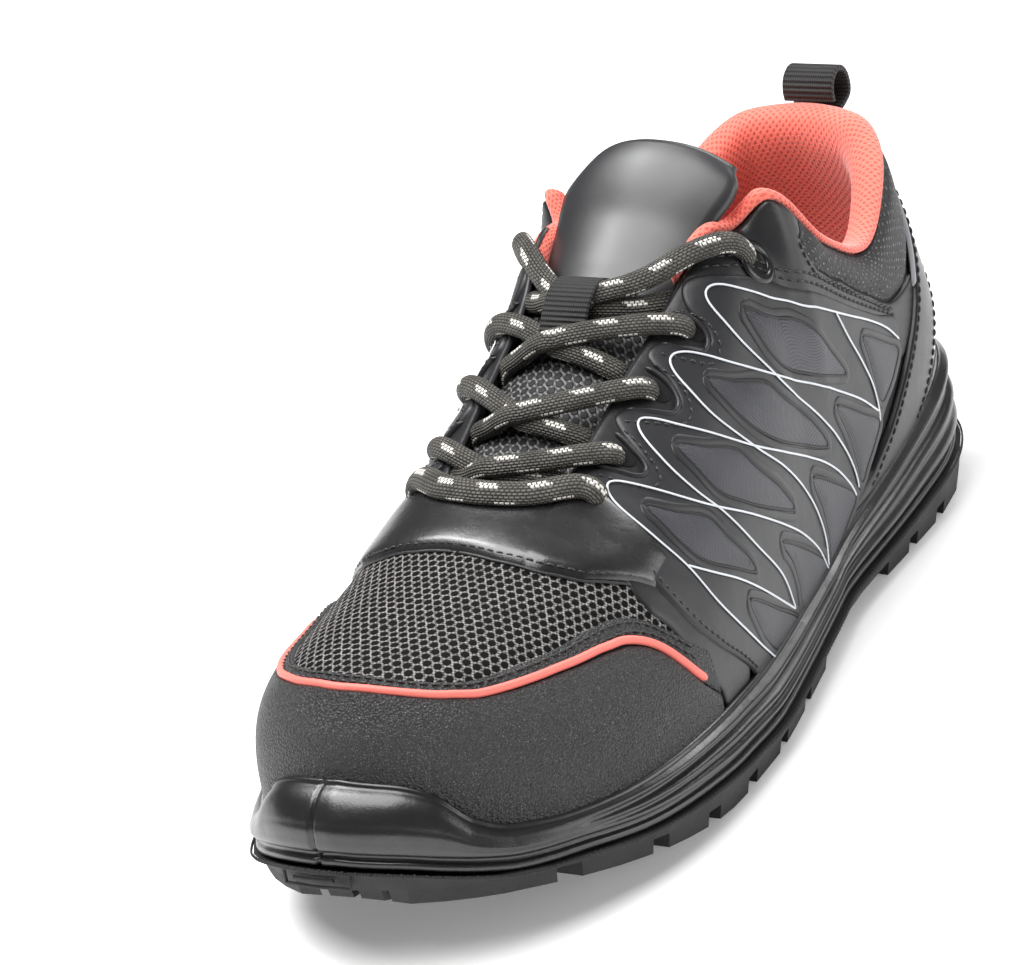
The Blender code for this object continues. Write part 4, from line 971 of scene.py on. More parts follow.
leather = Paint("toe_leather")
grain = leather.cells(1350.0)
pores = leather.noise(2600.0, 2.0)
# Light specks on the grain, gathered in broad patches, are painted glints, a painted highlight;
# the same patches also vary the roughness.
painted_glints = (leather.noise(3300.0, 0.0) > 0.71) * 0.5
glint_patches = leather.noise(70.0, 3.0)
toe_colour = leather.mix(painted_glints * glint_patches, (0.011, 0.011, 0.012), (0.4, 0.38, 0.37))
toe_finish = leather.done(toe_colour, 0.3 + grain * 0.26 + glint_patches * 0.08, grain * 0.9 + pores * 0.5,
                          0.6, specular=0.55)
fore = np.linspace(0.652, 1.348, 140)
bottom = rim_height(fore, -2.0)
top_line = np.maximum(table(CAP_TOP, fore), bottom + 0.03)
line = list(zip(fore, bottom)) + list(zip(fore[::-1], top_line[::-1]))
sheet("toe_cover", line, 1.75, toe_finish, edge=1.6, sink=0.6, step=1.5,
      stands_for=("toe_cap",), slot="toe_leather")
cord_line = [(w, table(CAP_TOP, w) + 0.02) for w in np.linspace(0.668, 1.332, 60)]
coral = Paint("piping_coral")
coral_finish = coral.done((0.95, 0.2, 0.16), 0.5, coral.noise(1900.0), 0.1)
bead("toe_cord", cord_line, 2.3, 1.5, 0.9, coral_finish, sides=12, stands_for=("toe_piping",),
     slot="piping_coral")
# the band's width follows the sides: wide there, narrow over the toe
BAND = [(0.652, 0.12), (0.675, 0.125), (0.7, 0.11), (0.74, 0.09), (0.8, 0.08), (0.9, 0.085),
        (1.0, 0.11), (1.1, 0.085), (1.2, 0.08), (1.26, 0.09), (1.3, 0.11), (1.348, 0.12)]
fore = np.linspace(0.65, 1.35, 160)
under = np.maximum(table(CAP_TOP, fore) + 0.005, rim_height(fore, -2.0))
line = list(zip(fore, under)) + list(zip(fore[::-1],
                                         (under + table(BAND, fore))[::-1]))
sheet("toe_band", line, 1.15, toe_finish, edge=1.0, sink=0.2, step=1.4, slot="toe_leather")
sewing = Paint("thread_black")
sewn = sewing.done((0.016, 0.016, 0.017), 0.42, sewing.noise(3000.0), 0.1, specular=0.6)
rows = []
for back in (1.4, 4.2):
    rows.append([(w, max(float(table(CAP_TOP, w)), 0.0) + float(table(BAND, w)) - back / UPWARD)
                 for w in np.linspace(0.672, 1.328, 40)])
stitches("toe_band_stitches", rows, 1.3, sewn, pitch=2.9, slot="toe_leather")

# ---- Vamp band
# A smooth glossy band of synthetic leather across the foot at the end of the throat,
# padded, and sewn down along its front edge.


def over(share, across, lift):
    """Points over the top of the foot, across mm to the outer side of the middle."""
    share, across, lift = np.broadcast_arrays(*[np.asarray(v, float) for v in
                                                (share, across, lift)])
    shape = share.shape
    share, across, lift = share.ravel(), across.ravel(), lift.ravel()
    height = np.where(across >= 0, height_across(share, 1, np.abs(across)),
                      height_across(share, -1, np.abs(across)))
    way = np.where(across >= 0, share, 2 - share)
    return layer(way, height, lift).reshape(shape + (3,))


VAMP_FRONT = [(-48, 0.665), (-42, 0.688), (-39, 0.700), (-33, 0.722), (-24, 0.738),
              (-12, 0.748), (0, 0.752), (12, 0.748), (24, 0.738), (33, 0.722), (39, 0.700),
              (42, 0.688), (48, 0.665)]
shiny = Paint("band_black")
wave = shiny.noise(160.0, 2.0)
shiny_finish = shiny.done((0.01, 0.01, 0.011), 0.22 + wave * 0.1,
                          wave * 0.5 + shiny.noise(2000.0) * 0.15, 0.25, specular=0.9)
across = np.linspace(-46, 46, 120)
front = table(VAMP_FRONT, across)
rear = np.where(np.abs(across) > 19, 0.64, THROAT_END + 0.003)
rear = np.minimum(rear, front - 0.004)
steps = np.linspace(0, 1, 16)
share = rear[:, None] * (1 - steps) + front[:, None] * steps
width = (front - rear)[:, None] * AROUND
gap = np.minimum(steps[None] * width, (1 - steps[None]) * width)
gap = np.minimum(gap, (46 - np.abs(across))[:, None])
f = np.clip(gap, 0, 1)
f_soft = np.clip((gap - 1.0) / 9.0, 0, 1)
raised = 0.3 + 1.35 * np.sqrt(1 - (1 - f) ** 2) + 1.1 * np.sqrt(1 - (1 - f_soft) ** 2)
points = over(share, across[:, None] + 0 * share, raised)
make("vamp_strip", points, grid_faces(len(across), len(steps)), shiny_finish,
     stands_for=("vamp_band",), slot="band_black")


def across_path(pairs):
    """Way and height of places given as share and mm across the foot, one side."""
    found = []
    for share, mm in pairs:
        side = 1 if mm >= 0 else -1
        height = float(height_across(share, side, abs(mm))[0])
        found.append((share if side > 0 else 2 - share, height))
    return found


for side in (1, -1):
    places = [(float(table(VAMP_FRONT, a)) - 0.005, a) for a in np.linspace(0.8, 42, 16) * side]
    name = "lateral" if side > 0 else "medial"
    stitches("vamp_stitches_" + name, [across_path(places)], 1.75, sewn, pitch=2.7,
             slot="band_black")
    bead("vamp_edge_" + name, across_path([(s + 0.007, a) for s, a in places]), 0.9, 0.5, 0.6,
         sewn, slot="band_black")

# ---- Smooth overlays: front overlay, eyestay
# Smooth black synthetic leather. The front overlay runs from the throat's end down to the
# sole ahead of the film; the eyestay carries the lace holes and runs back to the collar.
SIDES = {"lateral": list, "medial": inner}
satin = Paint("satin_black")
wave = satin.noise(130.0, 2.0)
satin_finish = satin.done((0.012, 0.012, 0.0135), 0.35 + wave * 0.1,
                          wave + satin.noise(2400.0) * 0.12, 0.25)
FRONT_OVERLAY = [(0.60, -0.03), (0.585, 0.06), (0.6, 0.3), (0.62, 0.6), (0.64, 0.745),
                 (0.655, 0.74), (0.672, 0.69), (0.688, 0.56), (0.695, 0.45), (0.693, 0.38),
                 (0.684, 0.32), (0.676, 0.24), (0.66, 0.13), (0.645, 0.06), (0.64, -0.03)]
EYESTAY = [(0.66, 0.4), (0.66, 0.74)]
for w in np.linspace(0.655, 0.36, 60):
    EYESTAY.append((w, float(edge_height(w)[0]) - 0.004))
EYESTAY += [(0.352, 0.985), (0.34, 0.985), (0.331, 0.96), (0.342, 0.82), (0.328, 0.775),
            (0.286, 0.825), (0.235, 0.775), (0.2, 0.675), (0.16, 0.6), (0.12, 0.55),
            (0.2, 0.4), (0.3, 0.45), (0.4, 0.4), (0.5, 0.4)]
for side, turn in SIDES.items():
    sheet("front_overlay_" + side, turn(FRONT_OVERLAY), 1.0, satin_finish, edge=1.0,
          slot="band_black")
    sheet("eyestay_" + side, turn(EYESTAY), 1.15, satin_finish, edge=1.2, step=1.8,
          slot="band_black")

# ---- Quarter film
# Dark grey film welded over the quarter. Its front edge runs in and out round pockets for
# the lace holes. Leaf-shaped windows of woven cloth show through, each with a raised rim,
# and thin silver lines cross between them.


def flow(path, step=2.0, closed=False):
    """Way and height of evenly spaced points on a smooth line of way and mm above the floor."""
    spots = np.asarray(path, float) * np.array([AROUND, 1.0])
    if closed:
        spots = np.vstack([spots[-3:], spots, spots[:4]])
    run = np.concatenate([[0], np.cumsum(np.sqrt(np.linalg.norm(np.diff(spots, axis=0), axis=1)))])
    slope = np.gradient(spots, run, axis=0)
    first, last = (3, len(spots) - 4) if closed else (0, len(spots) - 1)
    at = np.linspace(run[first], run[last], 40 * (last - first) + 1)
    k = np.clip(np.searchsorted(run, at, side="right") - 1, 0, len(spots) - 2)
    wide = (run[k + 1] - run[k])[:, None]
    f = (at - run[k])[:, None] / wide
    line = ((1 + 2 * f) * (1 - f) ** 2 * spots[k] + f * (1 - f) ** 2 * wide * slope[k]
            + f * f * (3 - 2 * f) * spots[k + 1] + f * f * (f - 1) * wide * slope[k + 1])
    line = even(line, step)
    line = line[:-1] if closed else line
    way = line[:, 0] / AROUND
    return np.stack([way, height_at_z(way, line[:, 1], 0.99)], 1)


def grown(ring, by):
    """A closed line moved outward by so many mm."""
    ring = np.asarray(ring) * np.array([AROUND, UPWARD])
    ahead = np.roll(ring, -1, axis=0) - np.roll(ring, 1, axis=0)
    ahead = unit(ahead)
    area = np.sum(ring[:, 0] * np.roll(ring[:, 1], -1) - np.roll(ring[:, 0], -1) * ring[:, 1])
    outside = np.stack([ahead[:, 1], -ahead[:, 0]], 1) * np.sign(area)
    return (ring + outside * by) / np.array([AROUND, UPWARD])


film = Paint("film_grey")
wave = film.noise(110.0, 2.0)
film_finish = film.done((0.017, 0.017, 0.019), 0.38 + wave * 0.08, wave + film.noise(2600.0) * 0.1,
                        0.25, specular=0.5)
weave = Paint("window_weave")
u, v = weave.flat()
tooth = ((u * 6.6 + v * 1.6).sine() * (v * 7.4 - u * 1.2).sine()) * 0.5 + 0.5
fade = weave.noise(50.0, 1.0)
weave_finish = weave.done(weave.mix(tooth * fade * 1.6, (0.02, 0.02, 0.025), (0.07, 0.07, 0.084)),
                          0.42, tooth, 0.12)
# The thin bead at each window's edge is painted near-black: painted shade in the groove round the
# window.
groove = Paint("window_groove_shade")
groove_shade_finish = groove.done((0.004, 0.004, 0.005), 0.5, groove.noise(900.0), 0.05)
silver = Paint("line_silver")
silver_finish = silver.done((0.7, 0.72, 0.76), 0.4, silver.noise(900.0), 0.05)
# mm above the upper's skin
FILM_LIFT, WINDOW_LIFT, LINE_LIFT = 2.05, 2.3, 2.38
# way, and mm above the floor
FILM = [
    (0.2, 65.5), (0.2375, 73.5), (0.29, 84.7), (0.34, 95.1), (0.376, 102.0), (0.402, 108.7),
    (0.425, 112.6), (0.44, 114.4), (0.452, 114.0), (0.464, 109.4),
     (0.4665, 106.3), (0.4655, 103.0),
    (0.47, 100.0), (0.4785, 100.0), (0.489, 102.1), (0.501, 104.0),
     (0.519, 102.6), (0.5245, 100.5),
    (0.5245, 97.4), (0.5285, 94.0), (0.534, 91.5), (0.5535, 92.5), (0.5685, 95.0), (0.584, 94.2),
    (0.592, 90.9), (0.597, 86.5), (0.603, 83.3), (0.6165, 84.6), (0.6235, 87.0), (0.64, 87.5),
    (0.6525, 85.2), (0.6665, 79.9), (0.6737, 74.6), (0.6735, 66.1), (0.6613, 53.6), (0.6362, 43.0),
    (0.61, 34.9), (0.585, 26.6), (0.575, 20.0), (0.52, 19.4), (0.45, 18.7), (0.38, 19.9),
    (0.32, 26.0), (0.275, 42.4), (0.225, 54.7)]
WINDOWS = [
    [(0.4304, 104.2), (0.4119, 99.6), (0.3787, 93.0), (0.3652, 89.4), (0.3438, 80.1),
     (0.3201, 68.8), (0.34, 71.2), (0.3865, 79.7), (0.4139, 86.9), (0.4264, 94.1)],
    [(0.4956, 93.6), (0.4716, 90.2), (0.4401, 85.7), (0.4222, 78.8), (0.3888, 67.2),
     (0.3668, 55.4), (0.4007, 61.3), (0.4522, 71.9), (0.4789, 80.0), (0.4914, 87.0)],
    [(0.5655, 85.1), (0.5405, 81.6), (0.506, 76.3), (0.4907, 69.8), (0.4619, 59.6),
     (0.4441, 50.5), (0.4767, 55.8), (0.5263, 65.2), (0.555, 72.3), (0.5629, 79.1)],
    [(0.629, 77.9), (0.6071, 73.7), (0.58, 68.5), (0.5683, 61.7), (0.5472, 52.4),
     (0.5445, 49.0), (0.5764, 54.6), (0.614, 62.8), (0.6245, 68.9), (0.6278, 73.8)],
    [(0.2782, 73.0), (0.2347, 64.5), (0.2167, 59.6), (0.2309, 55.5), (0.2492, 52.3),
     (0.2635, 51.3), (0.2701, 58.3), (0.2747, 65.8)],
    [(0.3442, 62.9), (0.2974, 53.6), (0.2715, 46.8), (0.282, 42.7), (0.2996, 37.8),
     (0.3101, 34.6), (0.3191, 43.0), (0.3296, 52.0)],
    [(0.3991, 51.1), (0.3559, 41.9), (0.3237, 32.4), (0.3429, 27.7), (0.3715, 23.0),
     (0.3854, 21.5), (0.3844, 30.9), (0.3894, 40.7)],
    [(0.4824, 46.7), (0.4281, 35.2), (0.3935, 23.6), (0.415, 21.2), (0.4454, 20.5),
     (0.4602, 22.0), (0.4616, 31.6), (0.4688, 39.7)],
    [(0.5705, 44.4), (0.519, 34.0), (0.472, 21.8), (0.498, 21.5), (0.5305, 24.0),
     (0.5549, 31.5), (0.5652, 37.6)]]
# each line runs in from the heel side, round a tip beside a pocket, and down to the sole
SILVER_LINES = [
    [(0.2111, 61.6), (0.2281, 67.6), (0.2611, 75.4), (0.3204, 86.6), (0.3827, 98.6),
     (0.4214, 107.8), (0.4363, 111.1), (0.4428, 111.4), (0.4485, 110.2), (0.4512, 108.0),
     (0.451, 104.2), (0.4456, 96.6), (0.4237, 84.7), (0.3863, 70.0), (0.3528, 56.3),
     (0.3304, 45.4), (0.3198, 37.2), (0.3184, 34.5)],
    [(0.2712, 49.9), (0.3002, 58.2), (0.3433, 67.7), (0.3887, 77.5), (0.4232, 85.0),
     (0.4626, 93.6), (0.4824, 98.0), (0.4945, 100.2), (0.5043, 100.7), (0.5123, 99.6),
     (0.517, 97.3), (0.518, 93.6), (0.5136, 86.6), (0.4861, 75.1), (0.4483, 63.4),
     (0.4206, 52.6), (0.3997, 41.1), (0.3916, 31.2), (0.3935, 23.6)],
    [(0.3235, 32.9), (0.3314, 37.2), (0.3536, 45.4), (0.3839, 54.1), (0.4428, 66.6),
     (0.4866, 74.9), (0.5258, 83.1), (0.5498, 88.1), (0.5651, 91.5), (0.572, 92.2),
     (0.578, 91.3), (0.5825, 89.2), (0.5848, 85.6), (0.5838, 80.6), (0.5765, 74.5),
     (0.5628, 68.2), (0.5335, 54.8), (0.4928, 38.6), (0.4789, 27.0)],
    [(0.3944, 22.8), (0.4076, 31.3), (0.4363, 41.5), (0.4712, 50.4), (0.5232, 61.4),
     (0.5682, 69.8), (0.5883, 74.2), (0.6107, 79.7), (0.6211, 82.2), (0.6293, 83.9),
     (0.6355, 84.4), (0.6415, 83.6), (0.646, 82.0), (0.648, 79.4), (0.643, 71.4),
     (0.6328, 63.4), (0.6172, 51.3), (0.5754, 34.3), (0.5369, 21.8)],
    [(0.6328, 63.4), (0.6045, 57.4), (0.5774, 51.8), (0.544, 43.8), (0.5087, 34.7),
     (0.4791, 26.8)],
    [(0.3204, 86.6), (0.3058, 77.2), (0.2896, 68.1), (0.2763, 58.8), (0.271, 50.2),
     (0.2715, 46.8)]]
POCKETS = [
    [(0.4735, 108.6), (0.468, 106.0), (0.469, 101.4), (0.4805, 98.8), (0.4925, 101.0),
     (0.503, 103.7)],
    [(0.53, 100.6), (0.5275, 97.0), (0.5335, 92.2), (0.5455, 90.8), (0.56, 93.0), (0.572, 94.9)],
    [(0.594, 92.0), (0.5965, 87.6), (0.6005, 83.8), (0.6095, 83.0), (0.62, 85.3), (0.628, 88.1)]]
for side, turn in SIDES.items():
    sheet("film_" + side, turn(flow(FILM, closed=True)), FILM_LIFT, film_finish, edge=1.6,
          sink=0.9, step=1.9, stands_for=("quarter_" + side,), slot="film_grey")
    for n, window in enumerate(WINDOWS):
        tag = side + "_" + str(n + 1)
        window = flow(window, 1.5, closed=True)
        sheet("window_" + tag, turn(window), WINDOW_LIFT, weave_finish, edge=0.7, sink=1.9,
              step=1.3, dome=0.5, dome_edge=6.0, slot="film_grey")
        # the groove bead carries the painted shade round each window
        for kind, away, wide, high in (("rim", 1.0, 2.4, 0.32), ("groove", 0.0, 0.9, 0.36)):
            ring = grown(window, away)
            ring = turn([tuple(p) for p in np.vstack([ring, ring[:1]])])
            bead("window_%s_%s" % (kind, tag), ring, wide, high, 2.08,
                 film_finish if kind == "rim" else groove_shade_finish, sides=9, slot="film_grey")
    for n, path in enumerate(SILVER_LINES):
        bead("silver_line_" + side + "_" + str(n + 1), turn(flow(path, 1.6)), 0.62, 0.25,
             LINE_LIFT, silver_finish, sides=6, slot="film_grey")
    for n, path in enumerate(POCKETS):
        bead("pocket_cord_" + side + "_" + str(n + 1), turn(flow(path)), 1.7, 1.3, 1.2,
             satin_finish, slot="band_black")
    rows = []
    for path in POCKETS:
        middle = np.array(path).mean(0) + np.array([0, 6.0])
        rows.append(turn(flow(middle + (np.array(path) - middle) * np.array([1.42, 1.3]))))
    rows.append(turn(flow([(w - 0.0065, z) for w, z in FILM[31:38]])))
    stitches("film_stitches_" + side, rows, 2.1, sewn, pitch=2.6, long=1.8, slot="band_black")
    upper_rows = []
    for back in (0.03, 0.062):
        upper_rows.append(turn([(w, h + back) for w, h in flow(FILM[0:8])]))
    stitches("band_stitches_" + side, upper_rows, 1.3, sewn, pitch=2.9, slot="band_black")
    collar_row = turn([(w + 0.004 * (w < 0.3) + 0.006 * (w > 0.3), h - 0.045 * (w < 0.33))
                       for w, h in COLLAR_LINE[4:]])
    stitches("collar_stitches_" + side, [collar_row], 1.3, sewn, pitch=2.9, slot="band_black")

# ---- Heel strap and clip
# A smooth band from the top of the heel down and forward to the sole on both sides, with
# a light reflective cord along its upper edge, and a glossy cover below it at the back.

# heel strap, share and height: front line and rear line
STRAP_FRONT = [(0.0, 0.93), (0.04, 0.90), (0.08, 0.78), (0.12, 0.64), (0.155, 0.51),
               (0.19, 0.41), (0.22, 0.31), (0.25, 0.19), (0.285, 0.10), (0.33, 0.055)]
STRAP_REAR = [(0.0, 0.58), (0.05, 0.50), (0.10, 0.34), (0.14, 0.22), (0.18, 0.10),
              (0.215, 0.03)]
strap_ways = np.linspace(-0.335, 0.335, 120)
share = np.abs(strap_ways)
lower = np.maximum(table(STRAP_REAR, share), rim_height(strap_ways, -2.0))
upper_line = np.maximum(table(STRAP_FRONT, share), lower + 0.02)
line = list(zip(strap_ways, lower)) + list(zip(strap_ways[::-1], upper_line[::-1]))
band = Paint("strap_black")
wave = band.noise(150.0, 2.0)
strap_finish = band.done((0.011, 0.011, 0.012), 0.3 + wave * 0.1,
                         wave * 0.5 + band.noise(2000.0) * 0.15, 0.25, specular=0.55)
sheet("strap", line, 2.6, strap_finish, edge=1.5, sink=0.4, stands_for=("heel_strap",),
      slot="band_black")
glossy = Paint("heel_film")
glossy_finish = glossy.done((0.012, 0.012, 0.014), 0.16, glossy.noise(60.0), 0.2, coat=0.4)
clip_ways = np.linspace(-0.21, 0.21, 70)
share = np.abs(clip_ways)
lower = rim_height(clip_ways, -2.0)
upper_line = np.maximum(table(STRAP_REAR, share) + 0.01, lower + 0.02)
line = list(zip(clip_ways, lower)) + list(zip(clip_ways[::-1], upper_line[::-1]))
sheet("clip", line, 1.6, glossy_finish, edge=1.0, sink=0.2, stands_for=("heel_clip",),
      slot="heel_film")
rows = []
reflect = Paint("reflective_grey")
reflect_finish = reflect.done((0.33, 0.33, 0.35), 0.35, reflect.noise(900.0), 0.08)
for side, turn in SIDES.items():
    edge_line = [(w, float(table(STRAP_FRONT, w)) - 0.025) for w in np.linspace(0.02, 0.3, 20)]
    rear_line = [(w, float(table(STRAP_REAR, w)) + 0.03) for w in np.linspace(0.02, 0.2, 14)]
    rows += [turn(edge_line), turn(rear_line)]
    cord_way = [(w, float(table(STRAP_FRONT, w)) + 0.012) for w in np.linspace(0.04, 0.15, 12)]
    bead("reflective_cord_" + side, turn(cord_way), 1.6, 1.2, 1.2, reflect_finish,
         slot="band_black")
stitches("strap_stitches", rows, 2.75, sewn, pitch=2.9, slot="band_black")

# ---- Collar lining
# One padded roll of orange knit over the collar's edge and down the top of the throat. At
# the heel it carries on down inside the shoe as the padded lining.

# mm outward, mm beyond the edge: round the collar, and down the throat
WRAP_END = 0.455
COLLAR_PAD = [(-3.2, -44), (-3.1, -20), (-3.0, 0.4), (0.1, 0.3), (1.0, 1.4), (0.4, 2.8),
              (-2.0, 3.8), (-5.2, 3.4), (-8.2, 1.0), (-9.2, -5), (-7.6, -15), (-5.6, -26),
              (-4.2, -36)]
THROAT_PAD = [(-3.0, -3.5), (-3.0, -1.2), (-2.8, 0.3), (0.2, 0.4), (1.3, 1.4), (1.2, 3.0),
              (0.0, 4.0), (-1.8, 4.1), (-3.6, 3.4), (-4.4, 2.0), (-4.4, 0.2), (-4.0, -1.6),
              (-3.6, -3.0)]
half = np.concatenate([np.linspace(0, 0.3, 80, endpoint=False), np.linspace(0.3, WRAP_END, 70)])
ways = np.concatenate([2 - half[::-1], 2 + half[1:]])
share = share_of(ways)
edge = edge_height(ways)
rim_spot = skin(ways, edge)
lower = skin(ways, edge - 0.02)
up = rim_spot - lower
per_height = np.linalg.norm(up, axis=1) / 0.02
up = unit(up)
n = outward(ways, edge)
# the wall turns sharply where the collar becomes the throat, so its directions are eased
for _ in range(14):
    up[1:-1] = 0.25 * up[:-2] + 0.5 * up[1:-1] + 0.25 * up[2:]
    n[1:-1] = 0.25 * n[:-2] + 0.5 * n[1:-1] + 0.25 * n[2:]
    rim_spot[1:-1] = 0.2 * rim_spot[:-2] + 0.6 * rim_spot[1:-1] + 0.2 * rim_spot[2:]
up = unit(up)
n = unit(n)
mix = np.clip((share - 0.25) / 0.1, 0, 1)
mix = mix * mix * (3 - 2 * mix)
closing = np.sqrt(np.clip((WRAP_END - share) / 0.008, 0.0, 1))
ring_count = 40
rings = []
for k in range(len(ways)):
    pad = np.array(COLLAR_PAD) * (1 - mix[k]) + np.array(THROAT_PAD) * mix[k]
    pad = through(pad, ring_count, closed=True)
    pad = pad.mean(0) + (pad - pad.mean(0)) * max(closing[k], 0.05)
    out_by, beyond = pad[:, 0], pad[:, 1]
    under = beyond < 0
    here = np.full(ring_count, ways[k])
    sunk = layer(here, np.clip(edge[k] + beyond / per_height[k], 0, 1), out_by)
    free = rim_spot[k] + n[k] * out_by[:, None] + up[k] * beyond[:, None]
    blend = np.clip(-beyond / 6.0, 0, 1)[:, None]
    rings.append(np.where(under[:, None], free * (1 - blend) + sunk * blend, free))
points = np.array(rings)
# the cloth's lengths along the roll and round it
run = run_of(points[:, 4])
points = np.concatenate([points, points[:, :1]], 1)
around = run_of(points[75])
cut = cut_of(run[:, None], around[None])
collar = make("collar_roll", points, grid_faces(len(ways), ring_count + 1), orange_finish,
              cut=cut, stands_for=("collar_lining",), slot="collar_orange")

# ---- Tongue
# Padded: open mesh on its lower part, smooth satin leather on its upper part with a sewn
# lower edge, orange knit at its back and sides, and a webbing loop for the lace.

# share along the ridge, half width, thickness (mm)
TONGUE = [(0.70, 22, 2), (0.66, 24, 2.2), (0.60, 25, 2.6), (0.54, 25.5, 3.4), (0.48, 26, 4.6),
          (0.44, 25.5, 5.5), (0.42, 24.5, 6)]
# forward of the last section, up, half width, thickness (mm)
TONGUE_TOP = [(-4, 5, 25.5, 5.7), (-9, 10, 28, 5.6), (-13.5, 13.5, 29, 5), (-17, 15, 26, 3.2)]
# points across the pad, and mm from the upper's skin down to the tongue
COLUMNS = 25
TONGUE_UNDER = 3.7
across = np.linspace(-1, 1, COLUMNS)
rows, thick = [], []
for share, half_wide, deep in TONGUE:
    rows.append(over(share, across * half_wide, -TONGUE_UNDER))
    thick.append(deep)
middle = rows[-1][COLUMNS // 2]
last_row, last_wide = rows[-1], TONGUE[-1][1]
for forward, lifted, half_wide, deep in TONGUE_TOP:
    row = middle + (last_row - middle) * half_wide / last_wide
    rows.append(row + np.array([lifted * 0.28, -forward, lifted]))
    thick.append(deep)
rows = np.array(rows)
# the pad bridges the ridge of the last, so its cross-section is one smooth curve
for _ in range(12):
    rows[:, 1:-1] = 0.25 * rows[:, :-2] + 0.5 * rows[:, 1:-1] + 0.25 * rows[:, 2:]
# rows of points along the finished pad
FINE = 90
fine_rows = np.linspace(0, len(rows) - 1, FINE)
smooth_rows = through(rows.reshape(len(rows), -1), FINE).reshape(FINE, COLUMNS, 3)
for _ in range(60):
    smooth_rows[1:-1] = 0.25 * smooth_rows[:-2] + 0.5 * smooth_rows[1:-1] + 0.25 * smooth_rows[2:]
deep = np.interp(fine_rows, np.arange(len(rows)), thick)
ahead = np.gradient(smooth_rows, axis=0)
aside = np.gradient(smooth_rows, axis=1)
n = np.cross(ahead, aside)
n = unit(n)
n = np.where(n[..., 2:] < 0, -n, n)
thin = 1 - 0.45 * np.abs(across) ** 3
puff = np.clip((fine_rows - 4.2) / 0.5, 0, 1)[:, None] * 0.9 * (1 - across[None] ** 4)
front_face = smooth_rows + n * puff[..., None]
back_face = smooth_rows - n * (deep[:, None] * thin[None])[..., None]
# round the sides and the top by closing the loop through half-way points
side_mid = 0.5 * (front_face + back_face)
wide_dir = unit(aside)
left = side_mid[:, :1] - wide_dir[:, :1] * (deep[:, None, None] * 0.28)
right = side_mid[:, -1:] + wide_dir[:, -1:] * (deep[:, None, None] * 0.28)
loop = np.concatenate([front_face, right, back_face[:, ::-1], left], 1)
count = loop.shape[1]
tops = [loop]
lead = unit(ahead[-1, COLUMNS // 2])
last_mid = side_mid[-1]
for f, reach_on in ((0.85, 0.9), (0.5, 1.6), (0.1, 1.9)):
    shrunk = np.concatenate([last_mid, last_mid[-1:], last_mid[::-1], last_mid[:1]], 0)
    tops.append((shrunk + (loop[-1] - shrunk) * f + lead * reach_on)[None])
loop = np.concatenate(tops, 0)
tongue_leather = Paint("tongue_satin")
wave = tongue_leather.noise(60.0, 2.0)
tongue_finish = tongue_leather.done((0.018, 0.018, 0.02), 0.36 + wave * 0.08,
                                    wave * 0.5 + tongue_leather.noise(2600.0) * 0.06, 0.4,
                                    specular=0.75)
comb = Paint("tongue_mesh")
u, v = comb.flat()
thread, away = holes(u, v, 3.1, 5.2, 1.15)
twist = (u * 3.3 + v * 3.9).sine() * 0.5 + 0.5
# The mesh's holes are painted near-black: painted shade in the open holes.
comb_finish = comb.done(comb.mix(thread, (0.002, 0.002, 0.002),
                                 comb.mix(twist, (0.03, 0.03, 0.03), (0.2, 0.2, 0.2))),
                        0.65, thread + twist * thread * 0.2, 0.9)
faces = grid_faces(loop.shape[0], count, round_columns=True)
row_of = faces[:, 0] // count
column = faces[:, 0] % count
split_row = int(np.searchsorted(fine_rows, 4.25))
parts = np.where(column < COLUMNS, np.where(row_of < split_row, 1, 0), 2)
run = run_of(loop[:, COLUMNS // 2])
width = run_of(loop[FINE * 4 // 9])
cut = cut_of(width[None], run[:, None])
tongue = make("tongue_pad", loop, faces, [tongue_finish, comb_finish, orange_finish], cut=cut,
              parts=parts, stands_for=("tongue",), slot="tongue_black")
webbing = Paint("webbing_black")
u, v = webbing.flat()
rib = (v * 4.6).sine() * 0.5 + 0.5
thread = (u * 9.0).sine() * 0.5 + 0.5
webbing_finish = webbing.done(webbing.mix(rib * thread, (0.006, 0.006, 0.006),
                                          (0.045, 0.043, 0.042)),
                              0.7, rib + thread * 0.25, 0.35)


def strap_of(name, middle, aside, wide, thick, finish, stands_for=(), slot=None):
    """A flat webbing strip along a line, wide mm along aside."""
    middle = through(middle, 70)
    ahead = np.gradient(middle, axis=0)
    ahead = unit(ahead)
    aside = np.asarray(aside, float)
    n = np.cross(ahead, aside)
    n = unit(n)
    shape = [(-1, 0.3), (-0.94, 0.5), (0.94, 0.5), (1, 0.3), (1, -0.3), (0.94, -0.5),
             (-0.94, -0.5), (-1, -0.3)]
    ring = np.array([[a * wide / 2, b * thick] for a, b in shape])
    points = middle[:, None] + aside * ring[None, :, :1] + n[:, None] * ring[None, :, 1:]
    points = np.concatenate([points, points[:, :1]], 1)
    run = run_of(middle)
    around = np.append(ring[:, 0], ring[0, 0])
    cut = cut_of(around[None], run[:, None])
    return make(name, points, grid_faces(len(middle), len(ring) + 1), finish, cut=cut,
                stands_for=stands_for, slot=slot)


ridge = [over(s, 0.0, lift) for s, lift in ((0.536, -4.0), (0.531, -2.2), (0.519, 1.6),
                                             (0.504, 4.6), (0.489, 5.4), (0.477, 3.6),
                                             (0.470, 0.0), (0.468, -3.2))]
strap_of("tongue_loop", np.array(ridge), (1, 0, 0), 14.0, 1.3, webbing_finish,
         slot="webbing_black")

